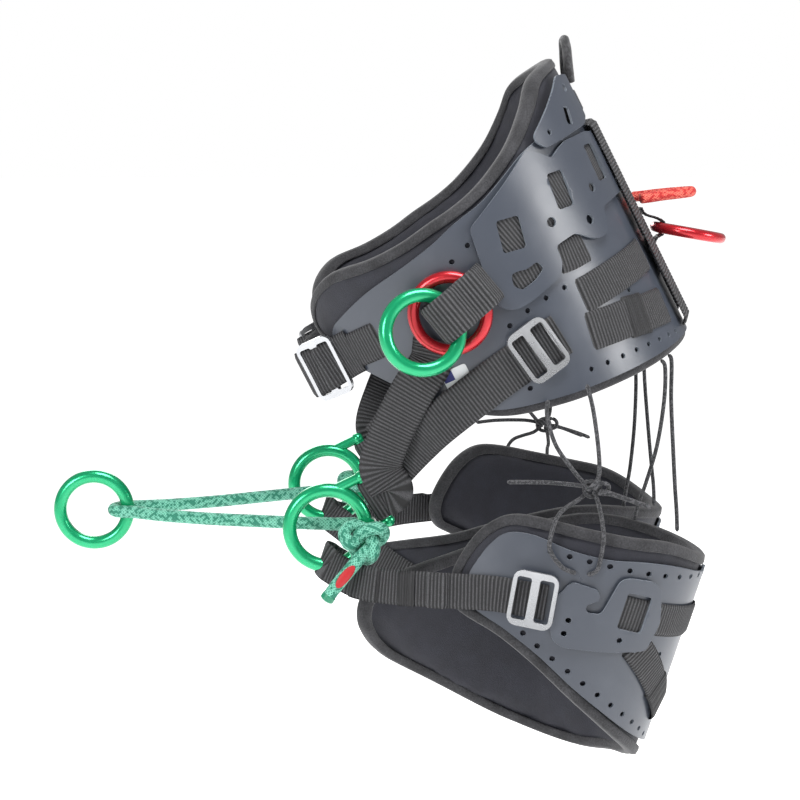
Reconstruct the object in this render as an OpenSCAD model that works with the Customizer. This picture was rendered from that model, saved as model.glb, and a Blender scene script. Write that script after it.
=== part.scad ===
// Tree climbing saddle: a padded back support and two padded leg loops, joined through two
// D rings that carry a rope bridge with a sliding ring.
// Frame: X to the wearer's left, Y to the wearer's back, Z up. The origin is the middle of the
// waist opening. Lengths are in millimetres and angles in degrees.

/* [Back support] */
// Radius of the wearer's side of the pad
waist_r = 134; // [120:1:150]
// Thickness of the waist and leg pads
pad_t = 12; // [8:1:14]
// Lean of the back support, its top towards the front
belt_tilt = 27; // [18:1:32]
// Height of the pad above the waist line at the middle of the back
back_h = 146; // [125:1:170]
// Width of the edge binding on the pads
binding_w = 6; // [4:0.5:8]

/* [Shell sheets] */
// Thickness of the moulded shell sheet
shell_t = 2.5; // [1.5:0.1:3]
// Thickness of the overlay plates
plate_t = 2.2; // [1.5:0.1:3]
// Radius of the small gear holes in the shells
hole_r = 2.2; // [1.5:0.1:3]

/* [Webbing] */
// Width of the webbing that carries the wearer
load_web_w = 35; // [28:1:38]
// Width of the leg webbing
leg_web_w = 28; // [22:1:32]
// Thickness of the webbing
web_t = 2.2; // [1.5:0.1:2.5]

/* [Rings] */
// Outer diameter of the green side rings and the bridge ring
ring_od = 70; // [60:1:72]
// Thickness of the tube that the green rings are made of
ring_tube = 11.5; // [9:0.5:12]
// Outer diameter of the red side rings
red_od = 68; // [60:1:68]
// Thickness of the red ring's tube
red_tube = 10; // [8:0.5:10]
// Outer diameter of the rear ring
rear_od = 66; // [55:1:70]

/* [Bridge] */
// Diameter of the bridge rope
rope_d = 10.5; // [9:0.5:11]
// Clearance of the rope in the bore of a D ring
rope_clear = 0.35; // [0.2:0.05:0.6]
// Mid radius of the D ring
d_r = 31.5; // [28:0.5:34]
// Diameter of the D ring's tube
d_tube = 11.5; // [9:0.5:12]

/* [Leg loops] */
// Radius of the wearer's side of a leg pad at the back of the thigh
thigh_r = 82; // [74:1:90]
// Lean of the leg loops, their top towards the back
leg_tilt = 18; // [12:1:22]

/* [Elastic cords] */
// Diameter of the elastic suspension cords
elastic_d = 3.5; // [3:0.1:4.5]

/* [Hidden] */

// Layers on the wall of a pad, as heights above the wearer's side, with a gap between two
gap = 0.2;
bind_in = -0.6;
bind_out = pad_t + 1;
shell_in = bind_out + gap;
shell_out = shell_in + shell_t;
web_in = shell_out + gap;
web_out = web_in + web_t;
plate_in = web_out + gap;
plate_out = plate_in + plate_t;
buckle_in = web_out + 1;

curve_fn = 120;
small_fn = 48;
far = 400;

// Middle of a leg loop at the back of the thigh
leg_x = 105;
leg_place = [leg_x, 66, -278];

// ---------- shared functions ----------
// A closed or open line of points rounded by a Catmull-Rom curve with n steps between points
function spline_at(a, b, c, d, t) =
    0.5 * (2 * b + (c - a) * t + (2 * a - 5 * b + 4 * c - d) * t * t
    + (3 * b - a - 3 * c + d) * t * t * t);
function smooth(p, n) = [
    for (i = [0 : len(p) - 2], j = [0 : n - 1])
        spline_at(p[max(i - 1, 0)], p[i], p[i + 1], p[min(i + 2, len(p) - 1)], j / n),
    p[len(p) - 1]];

function unit(v) = v / norm(v);
// A closed counter-clockwise outline moved inwards by d
function inset(p, d) = [
    for (i = [0 : len(p) - 1])
        let (a = unit(p[i] - p[(i + len(p) - 1) % len(p)]),
             b = unit(p[(i + 1) % len(p)] - p[i]),
             n = unit([-a[1] - b[1], a[0] + b[0]]))
        p[i] + n * d / max(0.5, n[0] * -b[1] + n[1] * b[0])];

// Side outline of a piece given as [angle round the wall, height], for a wall of radius r
function wrap(r, p) = [for (a = p) [r * sin(a[0]), a[1]]];

function tangents(p) = [
    for (i = [0 : len(p) - 1])
        unit(p[min(i + 1, len(p) - 1)] - p[max(i - 1, 0)])];

// ---------- shared modules ----------
// A solid swept along points: ring(i) of the profile is placed by two directions at each point
module sweep(p, u, v, profile) {
    n = len(profile);
    m = len(p);
    points = [for (i = [0 : m - 1], q = profile) p[i] + u[i] * q[0] + v[i] * q[1]];
    sides = [for (i = [0 : m - 2], j = [0 : n - 1], half = [0, 1])
        let (k = (j + 1) % n, a = i * n, b = a + n)
        half == 0 ? [a + j, a + k, b + k] : [a + j, b + k, b + j]];
    ends = [[for (j = [n - 1 : -1 : 0]) j], [for (j = [0 : n - 1]) (m - 1) * n + j]];
    polyhedron(points, concat(sides, ends), convexity = 6);
}

// A round cord of diameter d along points, with its cross section kept from twisting
module cord(p, d, sides = 8) {
    t = tangents(p);
    up = [for (a = t) abs(a[2]) > 0.8 ? [0, 1, 0] : [0, 0, 1]];
    first = unit(cross(t[0], up[0]));
    u = carry(t, first);
    v = [for (i = [0 : len(p) - 1]) cross(t[i], u[i])];
    sweep(p, v, u, [for (k = [0 : sides - 1]) d / 2 * [cos(k * 360 / sides), sin(k * 360 / sides)]]);
}
function carry(t, first, i = 0, done = []) =
    i == len(t) ? done :
    let (last = i == 0 ? first : done[i - 1], next = unit(last - t[i] * (last * t[i])))
    carry(t, first, i + 1, concat(done, [next]));

// Webbing of width w along points, its face turned to the direction given at each point
module ribbon(p, face, w) {
    t = tangents(p);
    side = [for (i = [0 : len(p) - 1]) unit(cross(t[i], face[i]))];
    out = [for (i = [0 : len(p) - 1]) cross(side[i], t[i])];
    sweep(p, side, out, [[-w / 2, -web_t / 2], [w / 2, -web_t / 2], [w / 2, web_t / 2], [-w / 2, web_t / 2]]);
}

// An outline in the Y-Z plane, extruded along X from x0 to x1
module side_prism(p, x0, x1) {
    translate([x0, 0, 0]) rotate([90, 0, 90]) linear_extrude(x1 - x0) polygon(p);
}
module tube_wall(r0, r1) {
    difference() {
        cylinder(r = r1, h = far, center = true, $fn = curve_fn);
        cylinder(r = r0, h = far + 1, center = true, $fn = curve_fn);
    }
}
// Curved sheet between two heights above the wearer's side, with a side outline
module belt_sheet(h0, h1, p, x0 = -far / 2, x1 = far / 2) {
    intersection() {
        tube_wall(waist_r + h0, waist_r + h1);
        side_prism(p, x0, x1);
    }
}
// Places children on a round wall of radius r: X outwards, Y round towards the back, Z up
module at(a, z, r) { rotate([0, 0, a]) translate([r, 0, z]) children(); }
module hole(a, z, r, size) {
    at(a, z, r) rotate([0, 90, 0]) cylinder(r = size, h = 20, center = true, $fn = small_fn);
}
// A rounded window through a wall: w round the wall, h up, turned by turn
module window(a, z, r, w, h, turn = 0, corner = 2) {
    at(a, z, r) rotate([turn, 0, 0]) rotate([90, 0, 90])
        linear_extrude(24, center = true) rounded(w, h, corner);
}
module rounded(w, h, r) {
    square([w - 2 * r, h], center = true);
    square([w, h - 2 * r], center = true);
    for (x = [-1, 1], y = [-1, 1])
        translate([x * (w / 2 - r), y * (h / 2 - r)]) circle(r = r, $fn = small_fn);
}
// A strip round a wall: from angle a0 to a1 and from height z0 to z1
module strip(a0, a1, z0, z1, r0, r1) {
    rotate([0, 0, a0]) rotate_extrude(angle = a1 - a0, $fn = curve_fn)
        translate([r0, z0]) square([r1 - r0, z1 - z0]);
}
module belt() { rotate([belt_tilt, 0, 0]) children(); }
module right() { mirror([1, 0, 0]) children(); }

module torus(r, tube_r) {
    rotate_extrude($fn = curve_fn) translate([r, 0]) circle(r = tube_r, $fn = small_fn);
}
// A ring of round bar whose inside is turned to a short cylinder, so that it is a true bore
land = 0.4;
module ring(od, tube) {
    rotate_extrude($fn = curve_fn) intersection() {
        translate([(od - tube) / 2, 0]) circle(d = tube, $fn = small_fn);
        translate([od / 2 - tube + land, -tube]) square([tube, 2 * tube]);
    }
}

// ---------- back support ----------
waist_top = smooth([[146, back_h], [120, back_h - 6], [103, 124], [79, 105], [59, 94], [35, 84],
    [10, 78], [-15, 75], [-40, 71], [-71, 70], [-103, 73], [-121, 66]], 3);
waist_front = smooth([[-130, 56], [-134, 42], [-133, 26], [-121, 6]], 2);
waist_low = smooth([[-105, -15], [-95, -31], [-77, -57], [-32, -89], [15, -102], [49, -108],
    [96, -114], [146, -118]], 2);
back_reach = waist_r + pad_t + 10;
waist_outline = concat([[back_reach, -118], [back_reach, back_h]], waist_top, waist_front, waist_low);
inner_outline = inset(waist_outline, binding_w);
inner_cut = concat(
    [[back_reach + 1, -118 + binding_w], [back_reach + 1, back_h - binding_w]],
    [for (i = [2 : len(inner_outline) - 2]) inner_outline[i]]);

module waist_pad() {
    color("#1b1c24") belt() belt_sheet(0, pad_t, inner_cut);
}
module waist_binding() {
    color("#3a3b3f") belt() difference() {
        belt_sheet(bind_in, bind_out, waist_outline);
        side_prism(inner_cut, -far, far);
    }
}

shell_top = smooth([[152, 92], [134, 92], [105, 94], [80, 90], [55, 80], [31, 71], [5, 66],
    [-19, 59], [-49, 53], [-78, 48], [-100, 41], [-118, 33]], 2);
shell_front = [[-123, 26], [-124, 12], [-120, 2]];
shell_low = smooth([[-112, -10], [-95, -31], [-73, -56], [-31, -82], [16, -95], [50, -101],
    [96, -107], [152, -112]], 2);
shell_outline = concat(shell_top, shell_front, shell_low);
shell_hole_row = [for (a = [20 : 6 : 62]) [a, -88 - (a - 20) * 0.35]];
shell_holes = concat(shell_hole_row,
    [[2.5, 46], [-4, 40], [24, -20], [17, -20], [10, -22], [3, -26], [0, -78], [47, -50]]);

module back_shell() {
    color("#5d6470") belt() difference() {
        belt_sheet(shell_in, shell_out, shell_outline);
        for (s = [0, 1], h = shell_holes) mirror([s, 0, 0]) hole(h[0], h[1], waist_r + shell_in, hole_r);
        for (s = [0, 1]) mirror([s, 0, 0]) {
            window(33, 3, waist_r + shell_in, 22, 14);
            window(31, -62, waist_r + shell_in, 26, 22);
            window(55, -76, waist_r + shell_in, 16, 20);
        }
    }
}

// Bands of webbing that cross the shell under the plates
module side_webbing() {
    color("#2b2c31") belt() {
        belt_sheet(web_in, web_out, wrap(waist_r + web_out,
            [[63, -14], [63, -48], [28, -46], [24, -20]]), 1, far / 2);
        belt_sheet(web_in, web_out, wrap(waist_r + web_out,
            [[60, -50], [60, -84], [26, -78], [26, -47]]), 1, far / 2);
        strip(8, 44, 12, 47, waist_r + web_in, waist_r + web_out);
        strip(46, 66, 34, 64, waist_r + web_in, waist_r + web_out);
    }
}

hip_outline = [[5, 57], [3, 20], [2, -3], [3.5, -12], [7, -17], [12, -16.5], [24, -10], [26.5, 0],
    [26.7, 12.7], [35, 14], [41, 2], [45, -1], [49, 2], [50, 9], [52, 20], [78, 22], [78, 50], [74, 74],
    [62, 80], [49, 82], [44, 79], [40, 75], [35, 86], [32, 91], [20, 75]];
module hip_plate() {
    color("#666d79") belt() difference() {
        belt_sheet(plate_in, plate_out, wrap(waist_r + plate_out, [for (i = [len(hip_outline) - 1 : -1 : 0])
            hip_outline[i]]), 1, far / 2);
        window(15.5, 38, waist_r + plate_in, 19, 26, -12, 3);
        window(14, 2, waist_r + plate_in, 26, 11, 8, 5);
        window(37.5, 50, waist_r + plate_in, 17, 30, -8, 3);
        window(60, 54, waist_r + plate_in, 16, 32, -4, 3);
        for (h = [[29, 31], [51, 38], [43, 17]]) hole(h[0], h[1], waist_r + plate_in, 4);
        for (h = [[70, 31], [70, 60]]) hole(h[0], h[1], waist_r + plate_in, hole_r);
    }
}

top_outline = [[62, 131], [37.5, 98], [37, 92], [40, 84], [66, 84.5], [72, 90], [72, 128]];
module top_plate() {
    color("#666d79") belt() difference() {
        belt_sheet(plate_in, plate_out, wrap(waist_r + plate_out, [for (i = [len(top_outline) - 1 : -1 : 0])
            top_outline[i]]), 1, far / 2);
        window(57, 98, waist_r + plate_in, 8, 15, -20, 1);
        hole(44, 94, waist_r + plate_in, hole_r);
        hole(64, 119, waist_r + plate_in, 3.5);
    }
}

// Two upright bands on the back, over the plates, joined by a cross band at the waist
back_web_in = plate_out + gap;
back_web_out = back_web_in + web_t;
module back_webbing() {
    color("#26272b") belt() {
        for (a = [68, 98]) strip(a, a + 14, -104, 84, waist_r + back_web_in, waist_r + back_web_out);
        strip(82.2, 97.8, -64, -29, waist_r + back_web_in, waist_r + back_web_out);
        strip(82.2, 97.8, 84 - load_web_w, 84, waist_r + back_web_in, waist_r + back_web_out);
        strip(83, 97, 93, 113, waist_r + shell_in, waist_r + shell_in + web_t);
    }
}

// ---------- front closure ----------
front_z = 4;
front_web_w = 42;
module front_strap() {
    color("#222327") belt()
        strip(-118, -62, front_z - front_web_w / 2, front_z + front_web_w / 2,
            waist_r + web_in, waist_r + web_out);
}
module front_tab() {
    color("#2b2c31") belt()
        strip(-58, -36, front_z + 4 - 15, front_z + 4 + 15, waist_r + web_in, waist_r + web_out);
}

// A flat aluminium frame with two windows and three bars, its bars along Z, flat against X = 0
module buckle_frame(w, h, t = 4) {
    rail = 5;
    bar = 4.5;
    opening = (w - 3 * bar) / 2;
    rotate([90, 0, 90]) linear_extrude(t) difference() {
        rounded(w, h, 6);
        for (s = [-1, 1]) translate([s * (opening + bar) / 2, 0])
            square([opening, h - 2 * rail], center = true);
    }
}
buckle_w = 36;
front_buckle_h = 52;
// The front buckle stands off the round wall, its face turned outwards
front_buckle_a = -60.5;
front_buckle_turn = 28;
front_buckle_out = 9;
module front_buckle() {
    color("#d9dadd") belt() at(front_buckle_a, front_z, waist_r + buckle_in + front_buckle_out)
        rotate([0, 0, front_buckle_turn]) buckle_frame(buckle_w, front_buckle_h);
}

// ---------- side rings ----------
// The rings lie on the side of the belt in a frame whose Y runs along the webbing that holds them
hip_a = -11;
hip_z = 5;
hip_turn = 13;
module hip_frame() {
    belt() rotate([0, 0, hip_a]) translate([0, 0, hip_z]) rotate([hip_turn, 0, 0]) children();
}
green_r = (ring_od - ring_tube) / 2;
// Height of the red ring's plane, and the height and place of the green ring's hinge arc
red_x = waist_r + web_out + 0.5 + red_tube / 2;
green_x = red_x + 6.5;
green_hinge_y = 4.3;
green_lift = 22;
module red_ring() {
    color("#b3122b") hip_frame() translate([red_x, 0, 0]) rotate([0, 90, 0]) ring(red_od, red_tube);
}
module green_ring() {
    color("#12b56a") hip_frame() translate([green_x, green_hinge_y, 3]) rotate([0, 0, green_lift])
        translate([0, -green_r, 0]) rotate([0, 90, 0]) ring(ring_od, ring_tube);
}

// Webbing sewn to the shell at one end, carried over both rings and back under them
loop_base = waist_r + web_in + web_t / 2;
loop_route = smooth([[loop_base - 1.2, 40], [loop_base + 5, 38.4], [red_x + 7.6, 35], [red_x + 10, 28],
    [green_x + 6.2, 19.5], [green_x + 14, 12], [green_x + 16, 0.5], [green_x + 11.8, -11.4],
    [green_x + 0.5, -14.8], [loop_base + 3, -13.5], [loop_base - 0.4, -9]], 2);
module ring_loop() {
    color("#2b2c31") hip_frame() union() {
        ribbon([for (p = loop_route) [p[0], p[1], 0]], loop_faces, load_web_w);
        intersection() {
            rotate([-hip_turn, 0, 0]) tube_wall(waist_r + web_in, waist_r + web_out);
            translate([0, -11, -load_web_w / 2]) cube([far / 2, 51, load_web_w]);
        }
    }
}
loop_faces = [for (t = tangents(loop_route)) [-t[1], t[0], 0]];

// ---------- straps to the D rings ----------
d_x = leg_x;
d_place = [d_x, -126, -190];
d_turn = 32;
d_bar_out = 45.5;
d_bar_r = 4.5;
d_face = d_tube / 2;
module d_frame() { translate(d_place) rotate([d_turn, 0, 0]) children(); }
// A point of the D ring's own plane, given in the part's frame
function d_point(x, y, z) =
    [d_x + x, d_place[1] + y * cos(d_turn) - z * sin(d_turn), d_place[2] + y * sin(d_turn) + z * cos(d_turn)];
fold_r = d_bar_r + 0.4 + web_t / 2;

function on_belt(a, z, h) =
    let (x = (waist_r + h) * cos(a), p = (waist_r + h) * sin(a))
    [x, p * cos(belt_tilt) - z * sin(belt_tilt), p * sin(belt_tilt) + z * cos(belt_tilt)];
function belt_face(a) = [cos(a), sin(a) * cos(belt_tilt), sin(a) * sin(belt_tilt)];

web_mid = web_in + web_t / 2;
hip_strap_route = concat(
    [on_belt(-19.5, -9, web_mid + 0.2), on_belt(-21.5, -17, web_mid + 0.2), on_belt(-24.5, -26, web_mid + 1.4)],
    [[141, -58, -72], [130, -74, -106], [119, -83, -137], d_point(fold_r + 3, 62, 0)],
    [d_point(fold_r, 52, 0), d_point(fold_r, d_bar_out, 0),
     d_point(fold_r * 0.7, d_bar_out - fold_r * 0.7, 0), d_point(0, d_bar_out - fold_r, 0),
     d_point(-fold_r * 0.7, d_bar_out - fold_r * 0.7, 0), d_point(-fold_r, d_bar_out, 0),
     d_point(-fold_r, 56, 0), d_point(-fold_r - 0.5, 74, 0)]);
hip_strap_face = concat(
    [belt_face(-19.5), belt_face(-21.5), belt_face(-24.5)],
    [[0.95, -0.25, -0.1], [0.96, -0.2, 0], [0.98, -0.1, 0], [1, 0, 0]],
    [[1, 0, 0], [1, 0, 0], [0.7, -0.7 * cos(d_turn), -0.7 * sin(d_turn)],
     [0, -cos(d_turn), -sin(d_turn)], [-0.7, -0.7 * cos(d_turn), -0.7 * sin(d_turn)], [-1, 0, 0],
     [-1, 0, 0], [-1, 0, 0]]);
module hip_strap() {
    color("#2b2c31") ribbon(hip_strap_route, hip_strap_face, load_web_w);
}

lower_strap_route = [on_belt(16, -51, web_mid + 0.6), on_belt(8, -53, web_mid + 0.6),
    on_belt(-1, -56, web_mid + 0.6), on_belt(-10, -60, web_mid + 1), [141, -36, -98], [124, -54, -118],
    [109, -70, -138], [104, -78, -149]];
lower_strap_face = [belt_face(16), belt_face(8), belt_face(-1), belt_face(-10),
    [0.95, -0.3, -0.1], [0.9, -0.35, -0.2], [0.9, -0.35, -0.2], [0.95, -0.2, -0.2]];
module lower_strap() {
    color("#2b2c31") ribbon(lower_strap_route, lower_strap_face, load_web_w);
}
side_buckle_a = 7;
side_buckle_z = -53;
side_buckle_turn = 9;
side_buckle_h = 46;
module side_buckle() {
    color("#d9dadd") belt() at(side_buckle_a, side_buckle_z, waist_r + buckle_in)
        rotate([side_buckle_turn, 0, 0]) buckle_frame(buckle_w, side_buckle_h);
}

// ---------- D rings and rope bridge ----------
boss_a = -32;
boss_r = 9.8;
boss_y = d_r * cos(boss_a);
boss_z = d_r * sin(boss_a);
bore_r = rope_d / 2 + rope_clear;
arm_a = 50;
arm_reach = load_web_w / 2 + 4;
// A round bar of radius r between two points of the ring's plane
module bar_between(a, b, r) {
    d = b - a;
    translate([0, a[0], a[1]]) rotate([atan2(d[1], d[0]) - 90, 0, 0])
        cylinder(r = r, h = norm(d), $fn = small_fn);
}
module d_ring() {
    color("#10a862") d_frame() difference() {
        union() {
            rotate([0, 90, 0]) torus(d_r, d_tube / 2);
            for (s = [-1, 1]) {
                bar_between([d_r * cos(arm_a), s * d_r * sin(arm_a)], [d_bar_out, s * arm_reach], d_bar_r - 0.2);
                translate([0, d_bar_out, s * arm_reach]) sphere(r = d_bar_r + 0.8, $fn = small_fn);
            }
            bar_between([d_bar_out, -arm_reach], [d_bar_out, arm_reach], d_bar_r);
            translate([0, boss_y, boss_z]) rotate([0, 90, 0])
                cylinder(r = boss_r, h = d_tube + 1, center = true, $fn = small_fn);
        }
        translate([0, boss_y, boss_z]) rotate([0, 90, 0])
            cylinder(r = bore_r, h = far / 4, center = true, $fn = small_fn);
    }
}

bore_at = d_point(0, boss_y, boss_z);
knot_x = d_x + d_face + 13;
rope_turn_y = -312.5;
rope_z = -193;
bridge_half = concat(
    [[knot_x, bore_at[1], bore_at[2]], [d_x, bore_at[1], bore_at[2]], [d_x - 8, bore_at[1], bore_at[2]]],
    [[91, -98, -190], [87, -106, -190], [83, -118, -191], [73, -146, -192], [58, -184, -193],
     [42, -224, -194], [26, -264, -194], [14.5, -292, rope_z], [12, -301, rope_z], [8.5, -309, rope_z]]);
bridge_route = concat(bridge_half, [[0, rope_turn_y, rope_z]],
    [for (i = [len(bridge_half) - 1 : -1 : 0]) [-bridge_half[i][0], bridge_half[i][1], bridge_half[i][2]]]);
module bridge_rope() {
    color("#5fd0b0") cord(bridge_route, rope_d, 12);
}
bridge_ring_y = rope_turn_y + 12 - green_r;
module bridge_ring() {
    color("#12b56a") translate([0, bridge_ring_y, rope_z]) rotate([0, 90, 0]) ring(ring_od, ring_tube);
}

// Overhand knot: two loops of rope across each other round the rope's end, and its tail
knot_loop = 9.5;
tail_route = [[0, 0, -8], [8.5, -3, -12], [15.5, -8, -17.5], [18.5, -15, -26], [19.5, -24, -37], [19, -30, -46]];
module stopper_knot() {
    color("#5fd0b0") translate([knot_x, bore_at[1], bore_at[2]]) {
        difference() {
            union() {
                rotate([0, 90, 0]) torus(knot_loop, rope_d / 2);
                translate([4, 0, 0]) rotate([35, 65, 0]) torus(knot_loop - 1.5, rope_d / 2);
                sphere(r = knot_loop, $fn = small_fn);
            }
            translate([-13 - 20 + 0.3, 0, 0]) cube([40, 80, 80], center = true);
            rotate([0, -90, 0]) cylinder(r = rope_d / 2, h = 40, $fn = small_fn);
        }
        cord(tail_route, rope_d, 12);
    }
}

// ---------- leg loops ----------
// The front walls of a leg loop are arcs whose centres lie this far past the middle
front_shift = 131;
module leg() { translate(leg_place) rotate([-leg_tilt, 0, 0]) children(); }
// Plan of a leg loop: half a circle of radius r at the back, and two long arcs that meet in front
module leg_plan(r) {
    intersection() {
        circle(r = r, $fn = curve_fn);
        translate([-far / 2, 0]) square([far, far / 2]);
    }
    intersection() {
        translate([-front_shift, 0]) circle(r = r + front_shift, $fn = curve_fn);
        translate([front_shift, 0]) circle(r = r + front_shift, $fn = curve_fn);
        translate([-far / 2, -far]) square([far, far + 0.01]);
    }
}
module leg_wall(h0, h1) {
    difference() {
        linear_extrude(far, center = true) leg_plan(thigh_r + h1);
        linear_extrude(far + 2, center = true) leg_plan(thigh_r + h0);
    }
}
// Side outlines of the outer and the inner wall, which meet at the back
leg_back = [[120, -86], [120, 98]];
outer_top = smooth([[92, 101], [68, 107], [45, 109], [13, 105], [-27, 101], [-60, 98], [-84, 92],
    [-100, 74], [-108, 52]], 2);
outer_front = [[-111, 34], [-109, 18], [-100, 5]];
outer_low = smooth([[-84, 2], [-62, -2], [-30, -14], [3, -30], [37, -46], [75, -66], [95, -80]], 2);
outer_outline = concat(leg_back, outer_top, outer_front, outer_low);
inner_top = smooth([[92, 101], [60, 99], [21, 93], [-14, 80], [-63, 50], [-93, 28], [-130, 6],
    [-158, -12]], 2);
inner_front = [[-165, -20], [-168, -32], [-163, -50]];
inner_low = smooth([[-150, -65], [-129, -77], [-88, -89], [-29, -103], [9, -108], [45, -108],
    [72, -102], [95, -90]], 2);
inner_side = concat(leg_back, inner_top, inner_front, inner_low);
function trimmed(p) = let (q = inset(p, binding_w)) concat(
    [[121, p[0][1] + binding_w], [121, p[1][1] - binding_w]],
    [for (i = [2 : len(q) - 2]) q[i]]);

module leg_sides(h0, h1, outer, inner = []) {
    intersection() {
        leg_wall(h0, h1);
        union() {
            side_prism(outer, 0, far / 2);
            if (len(inner) > 0) side_prism(inner, -far / 2, 0);
        }
    }
}
module leg_pad() {
    color("#1b1c24") leg() leg_sides(0, pad_t - 2, trimmed(outer_outline), trimmed(inner_side));
}
leg_lift = pad_t - 2;
leg_bind_out = leg_lift + 1;
leg_shell_in = leg_bind_out + gap;
leg_shell_out = leg_shell_in + shell_t;
leg_web_in = leg_shell_out + gap;
leg_web_out = leg_web_in + web_t;
leg_plate_in = leg_web_out + gap;
leg_plate_out = leg_plate_in + plate_t;
module leg_binding() {
    color("#3a3b3f") leg() difference() {
        leg_sides(bind_in, leg_bind_out, outer_outline, inner_side);
        side_prism(trimmed(outer_outline), 0, far);
        side_prism(trimmed(inner_side), -far, 0);
    }
}
leg_shell_outline = concat([[110, -62], [110, 88]],
    smooth([[92, 88], [60, 92], [30, 90], [0, 84], [-30, 82], [-60, 84], [-80, 78], [-90, 62]], 2),
    [[-96, 40], [-96, 24], [-88, 14]],
    smooth([[-75, 10], [-58, 6], [-28, -5], [5, -21], [38, -36], [72, -52], [92, -62]], 2));
leg_row_top = [for (a = [-28 : 10 : 82]) [a, 76 + (a + 28) * 0.12]];
leg_row_low = [for (a = [-28 : 9 : 62]) [a, 8 - (a + 28) * 0.66]];
module leg_shell() {
    color("#5d6470") leg() difference() {
        leg_sides(leg_shell_in, leg_shell_out, leg_shell_outline, [[110, -62], [110, 88], [88, 88], [88, -62]]);
        for (h = concat(leg_row_top, leg_row_low)) leg_hole(h, hole_r);
        for (h = [[-9, 30], [-9, 19], [17, 28], [47, 19]]) leg_hole(h, hole_r);
    }
}
// A hole in the outer wall, by its angle at the back half and by the same depth at the front
module leg_hole(h, size) {
    r = thigh_r + leg_shell_in;
    a = h[0] >= 0 ? h[0] : asin(r * sin(h[0]) / (r + front_shift));
    c = h[0] >= 0 ? 0 : front_shift;
    translate([-c, 0, 0]) at(a, h[1], r + c) rotate([0, 90, 0])
        cylinder(r = size, h = 20, center = true, $fn = small_fn);
}
leg_plate_outline = [[-28, 22], [-32, 40], [-22, 60], [0, 60], [4, 52], [-6, 46], [-4, 40], [8, 42], [14, 72],
    [20, 76], [42, 78], [50, 72], [58, 46], [54, 22], [20, 14], [-12, 8], [-22, 11]];
module leg_plate() {
    color("#666d79") leg() difference() {
        leg_sides(leg_plate_in, leg_plate_out, [for (i = [len(leg_plate_outline) - 1 : -1 : 0])
            leg_plate_outline[i]]);
        window(20, 50, thigh_r + leg_plate_in, 21, 30, 0, 2);
        for (h = [[-9, 30], [-9, 19], [17, 26]]) leg_hole(h, hole_r);
    }
}
module leg_webbing() {
    color("#2b2c31") leg() {
        strip(8, 76, 34, 34 + leg_web_w, thigh_r + leg_web_in, thigh_r + leg_web_out);
        intersection() {
            difference() {
                cylinder(r = thigh_r + leg_web_out, h = far, center = true, $fn = curve_fn);
                cylinder(r = thigh_r + leg_web_in, h = far + 1, center = true, $fn = curve_fn);
            }
            side_prism(wrap(thigh_r + leg_web_out, [[68, -46], [60, 0], [36, 33], [10, 33], [10, 8], [48, -30]]),
                1, far / 2);
        }
    }
}

strap_mid = leg_web_in + web_t / 2 + 1;
function front_x(p, h) = -front_shift + sqrt(pow(thigh_r + h + front_shift, 2) - p * p);
leg_strap_y = -207;
leg_strap_route = [
    [-front_x(-118, leg_lift + 2.4), -118, -26], [-front_x(-140, leg_lift + 2.4), -140, -22],
    [-front_x(-160, leg_lift + 2.6), -160, -16], [-15, -182, -8],
    [-8.5, -198, -3], [-6, leg_strap_y + 4.5, -1], [0, leg_strap_y, 0], [6, leg_strap_y + 4.5, -2],
    [9, -198, -4], [26, -178, -5], [44, -155, 1], [62, -128, 11.5],
    [front_x(-100, strap_mid), -100, 21.5], [front_x(-75, strap_mid), -75, 30],
    [front_x(-50, strap_mid), -50, 35], [front_x(-35, strap_mid), -35, 37.4]];
leg_strap_face = [for (t = tangents(leg_strap_route)) unit([t[1], -t[0], 0])];
module leg_strap() {
    color("#2b2c31") leg() difference() {
        ribbon(leg_strap_route, leg_strap_face, leg_web_w);
        leg_strap_notch();
    }
}
// The webbing's fold is pinched where the D ring's tube runs through it
notch_clear = 2.5;
module leg_strap_notch() {
    rotate([leg_tilt, 0, 0]) translate(-leg_place) d_frame() rotate([0, 90, 0]) rotate_extrude($fn = curve_fn)
        translate([d_r, 0]) circle(r = d_tube / 2 + notch_clear, $fn = small_fn);
}
leg_buckle_h = 44;
leg_buckle_p = -46;
leg_buckle_in = leg_plate_out + 0.5;
module leg_buckle() {
    a = asin(leg_buckle_p / (thigh_r + leg_buckle_in + front_shift));
    color("#d9dadd") leg() translate([-front_shift, 0, 0]) at(a, 37, thigh_r + leg_buckle_in + front_shift)
        rotate([8, 0, 0]) buckle_frame(buckle_w, leg_buckle_h);
}

// ---------- rear pieces ----------
rear_tube = 9;
rear_r = (rear_od - rear_tube) / 2;
rear_hinge = [0, 158, 52];
rear_slope = 10;
module rear_ring() {
    color("#b3122b") translate(rear_hinge) rotate([-rear_slope, 0, 0]) translate([0, rear_r, 0])
        ring(rear_od, rear_tube);
}
// Webbing sewn to the back that folds round the front of the rear ring
keeper_play = 2.6;
keeper_r = rear_tube / 2 + keeper_play;
keeper_w = 20;
module rear_keeper() {
    color("#222327") difference() {
        union() {
            translate(rear_hinge) rotate([0, 90, 0])
                cylinder(r = keeper_r + web_t, h = keeper_w, center = true, $fn = small_fn);
            translate(rear_hinge - [keeper_w / 2, 16, keeper_r]) cube([keeper_w, 16, 2 * keeper_r]);
        }
        translate(rear_hinge) rotate([0, 90, 0])
            cylinder(r = keeper_r, h = 2 * keeper_w, center = true, $fn = small_fn);
        belt() cylinder(r = waist_r + back_web_out + gap, h = far, center = true, $fn = curve_fn);
    }
}
rear_rope_route = [[24, 140, 77], [22, 149, 78], [19, 160, 79.5], [15, 174, 81], [9, 184, 82], [0, 188, 82.5],
    [-9, 184, 82], [-15, 174, 81], [-19, 160, 79.5], [-22, 149, 78], [-24, 140, 77]];
rear_rope_d = 9;
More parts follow.
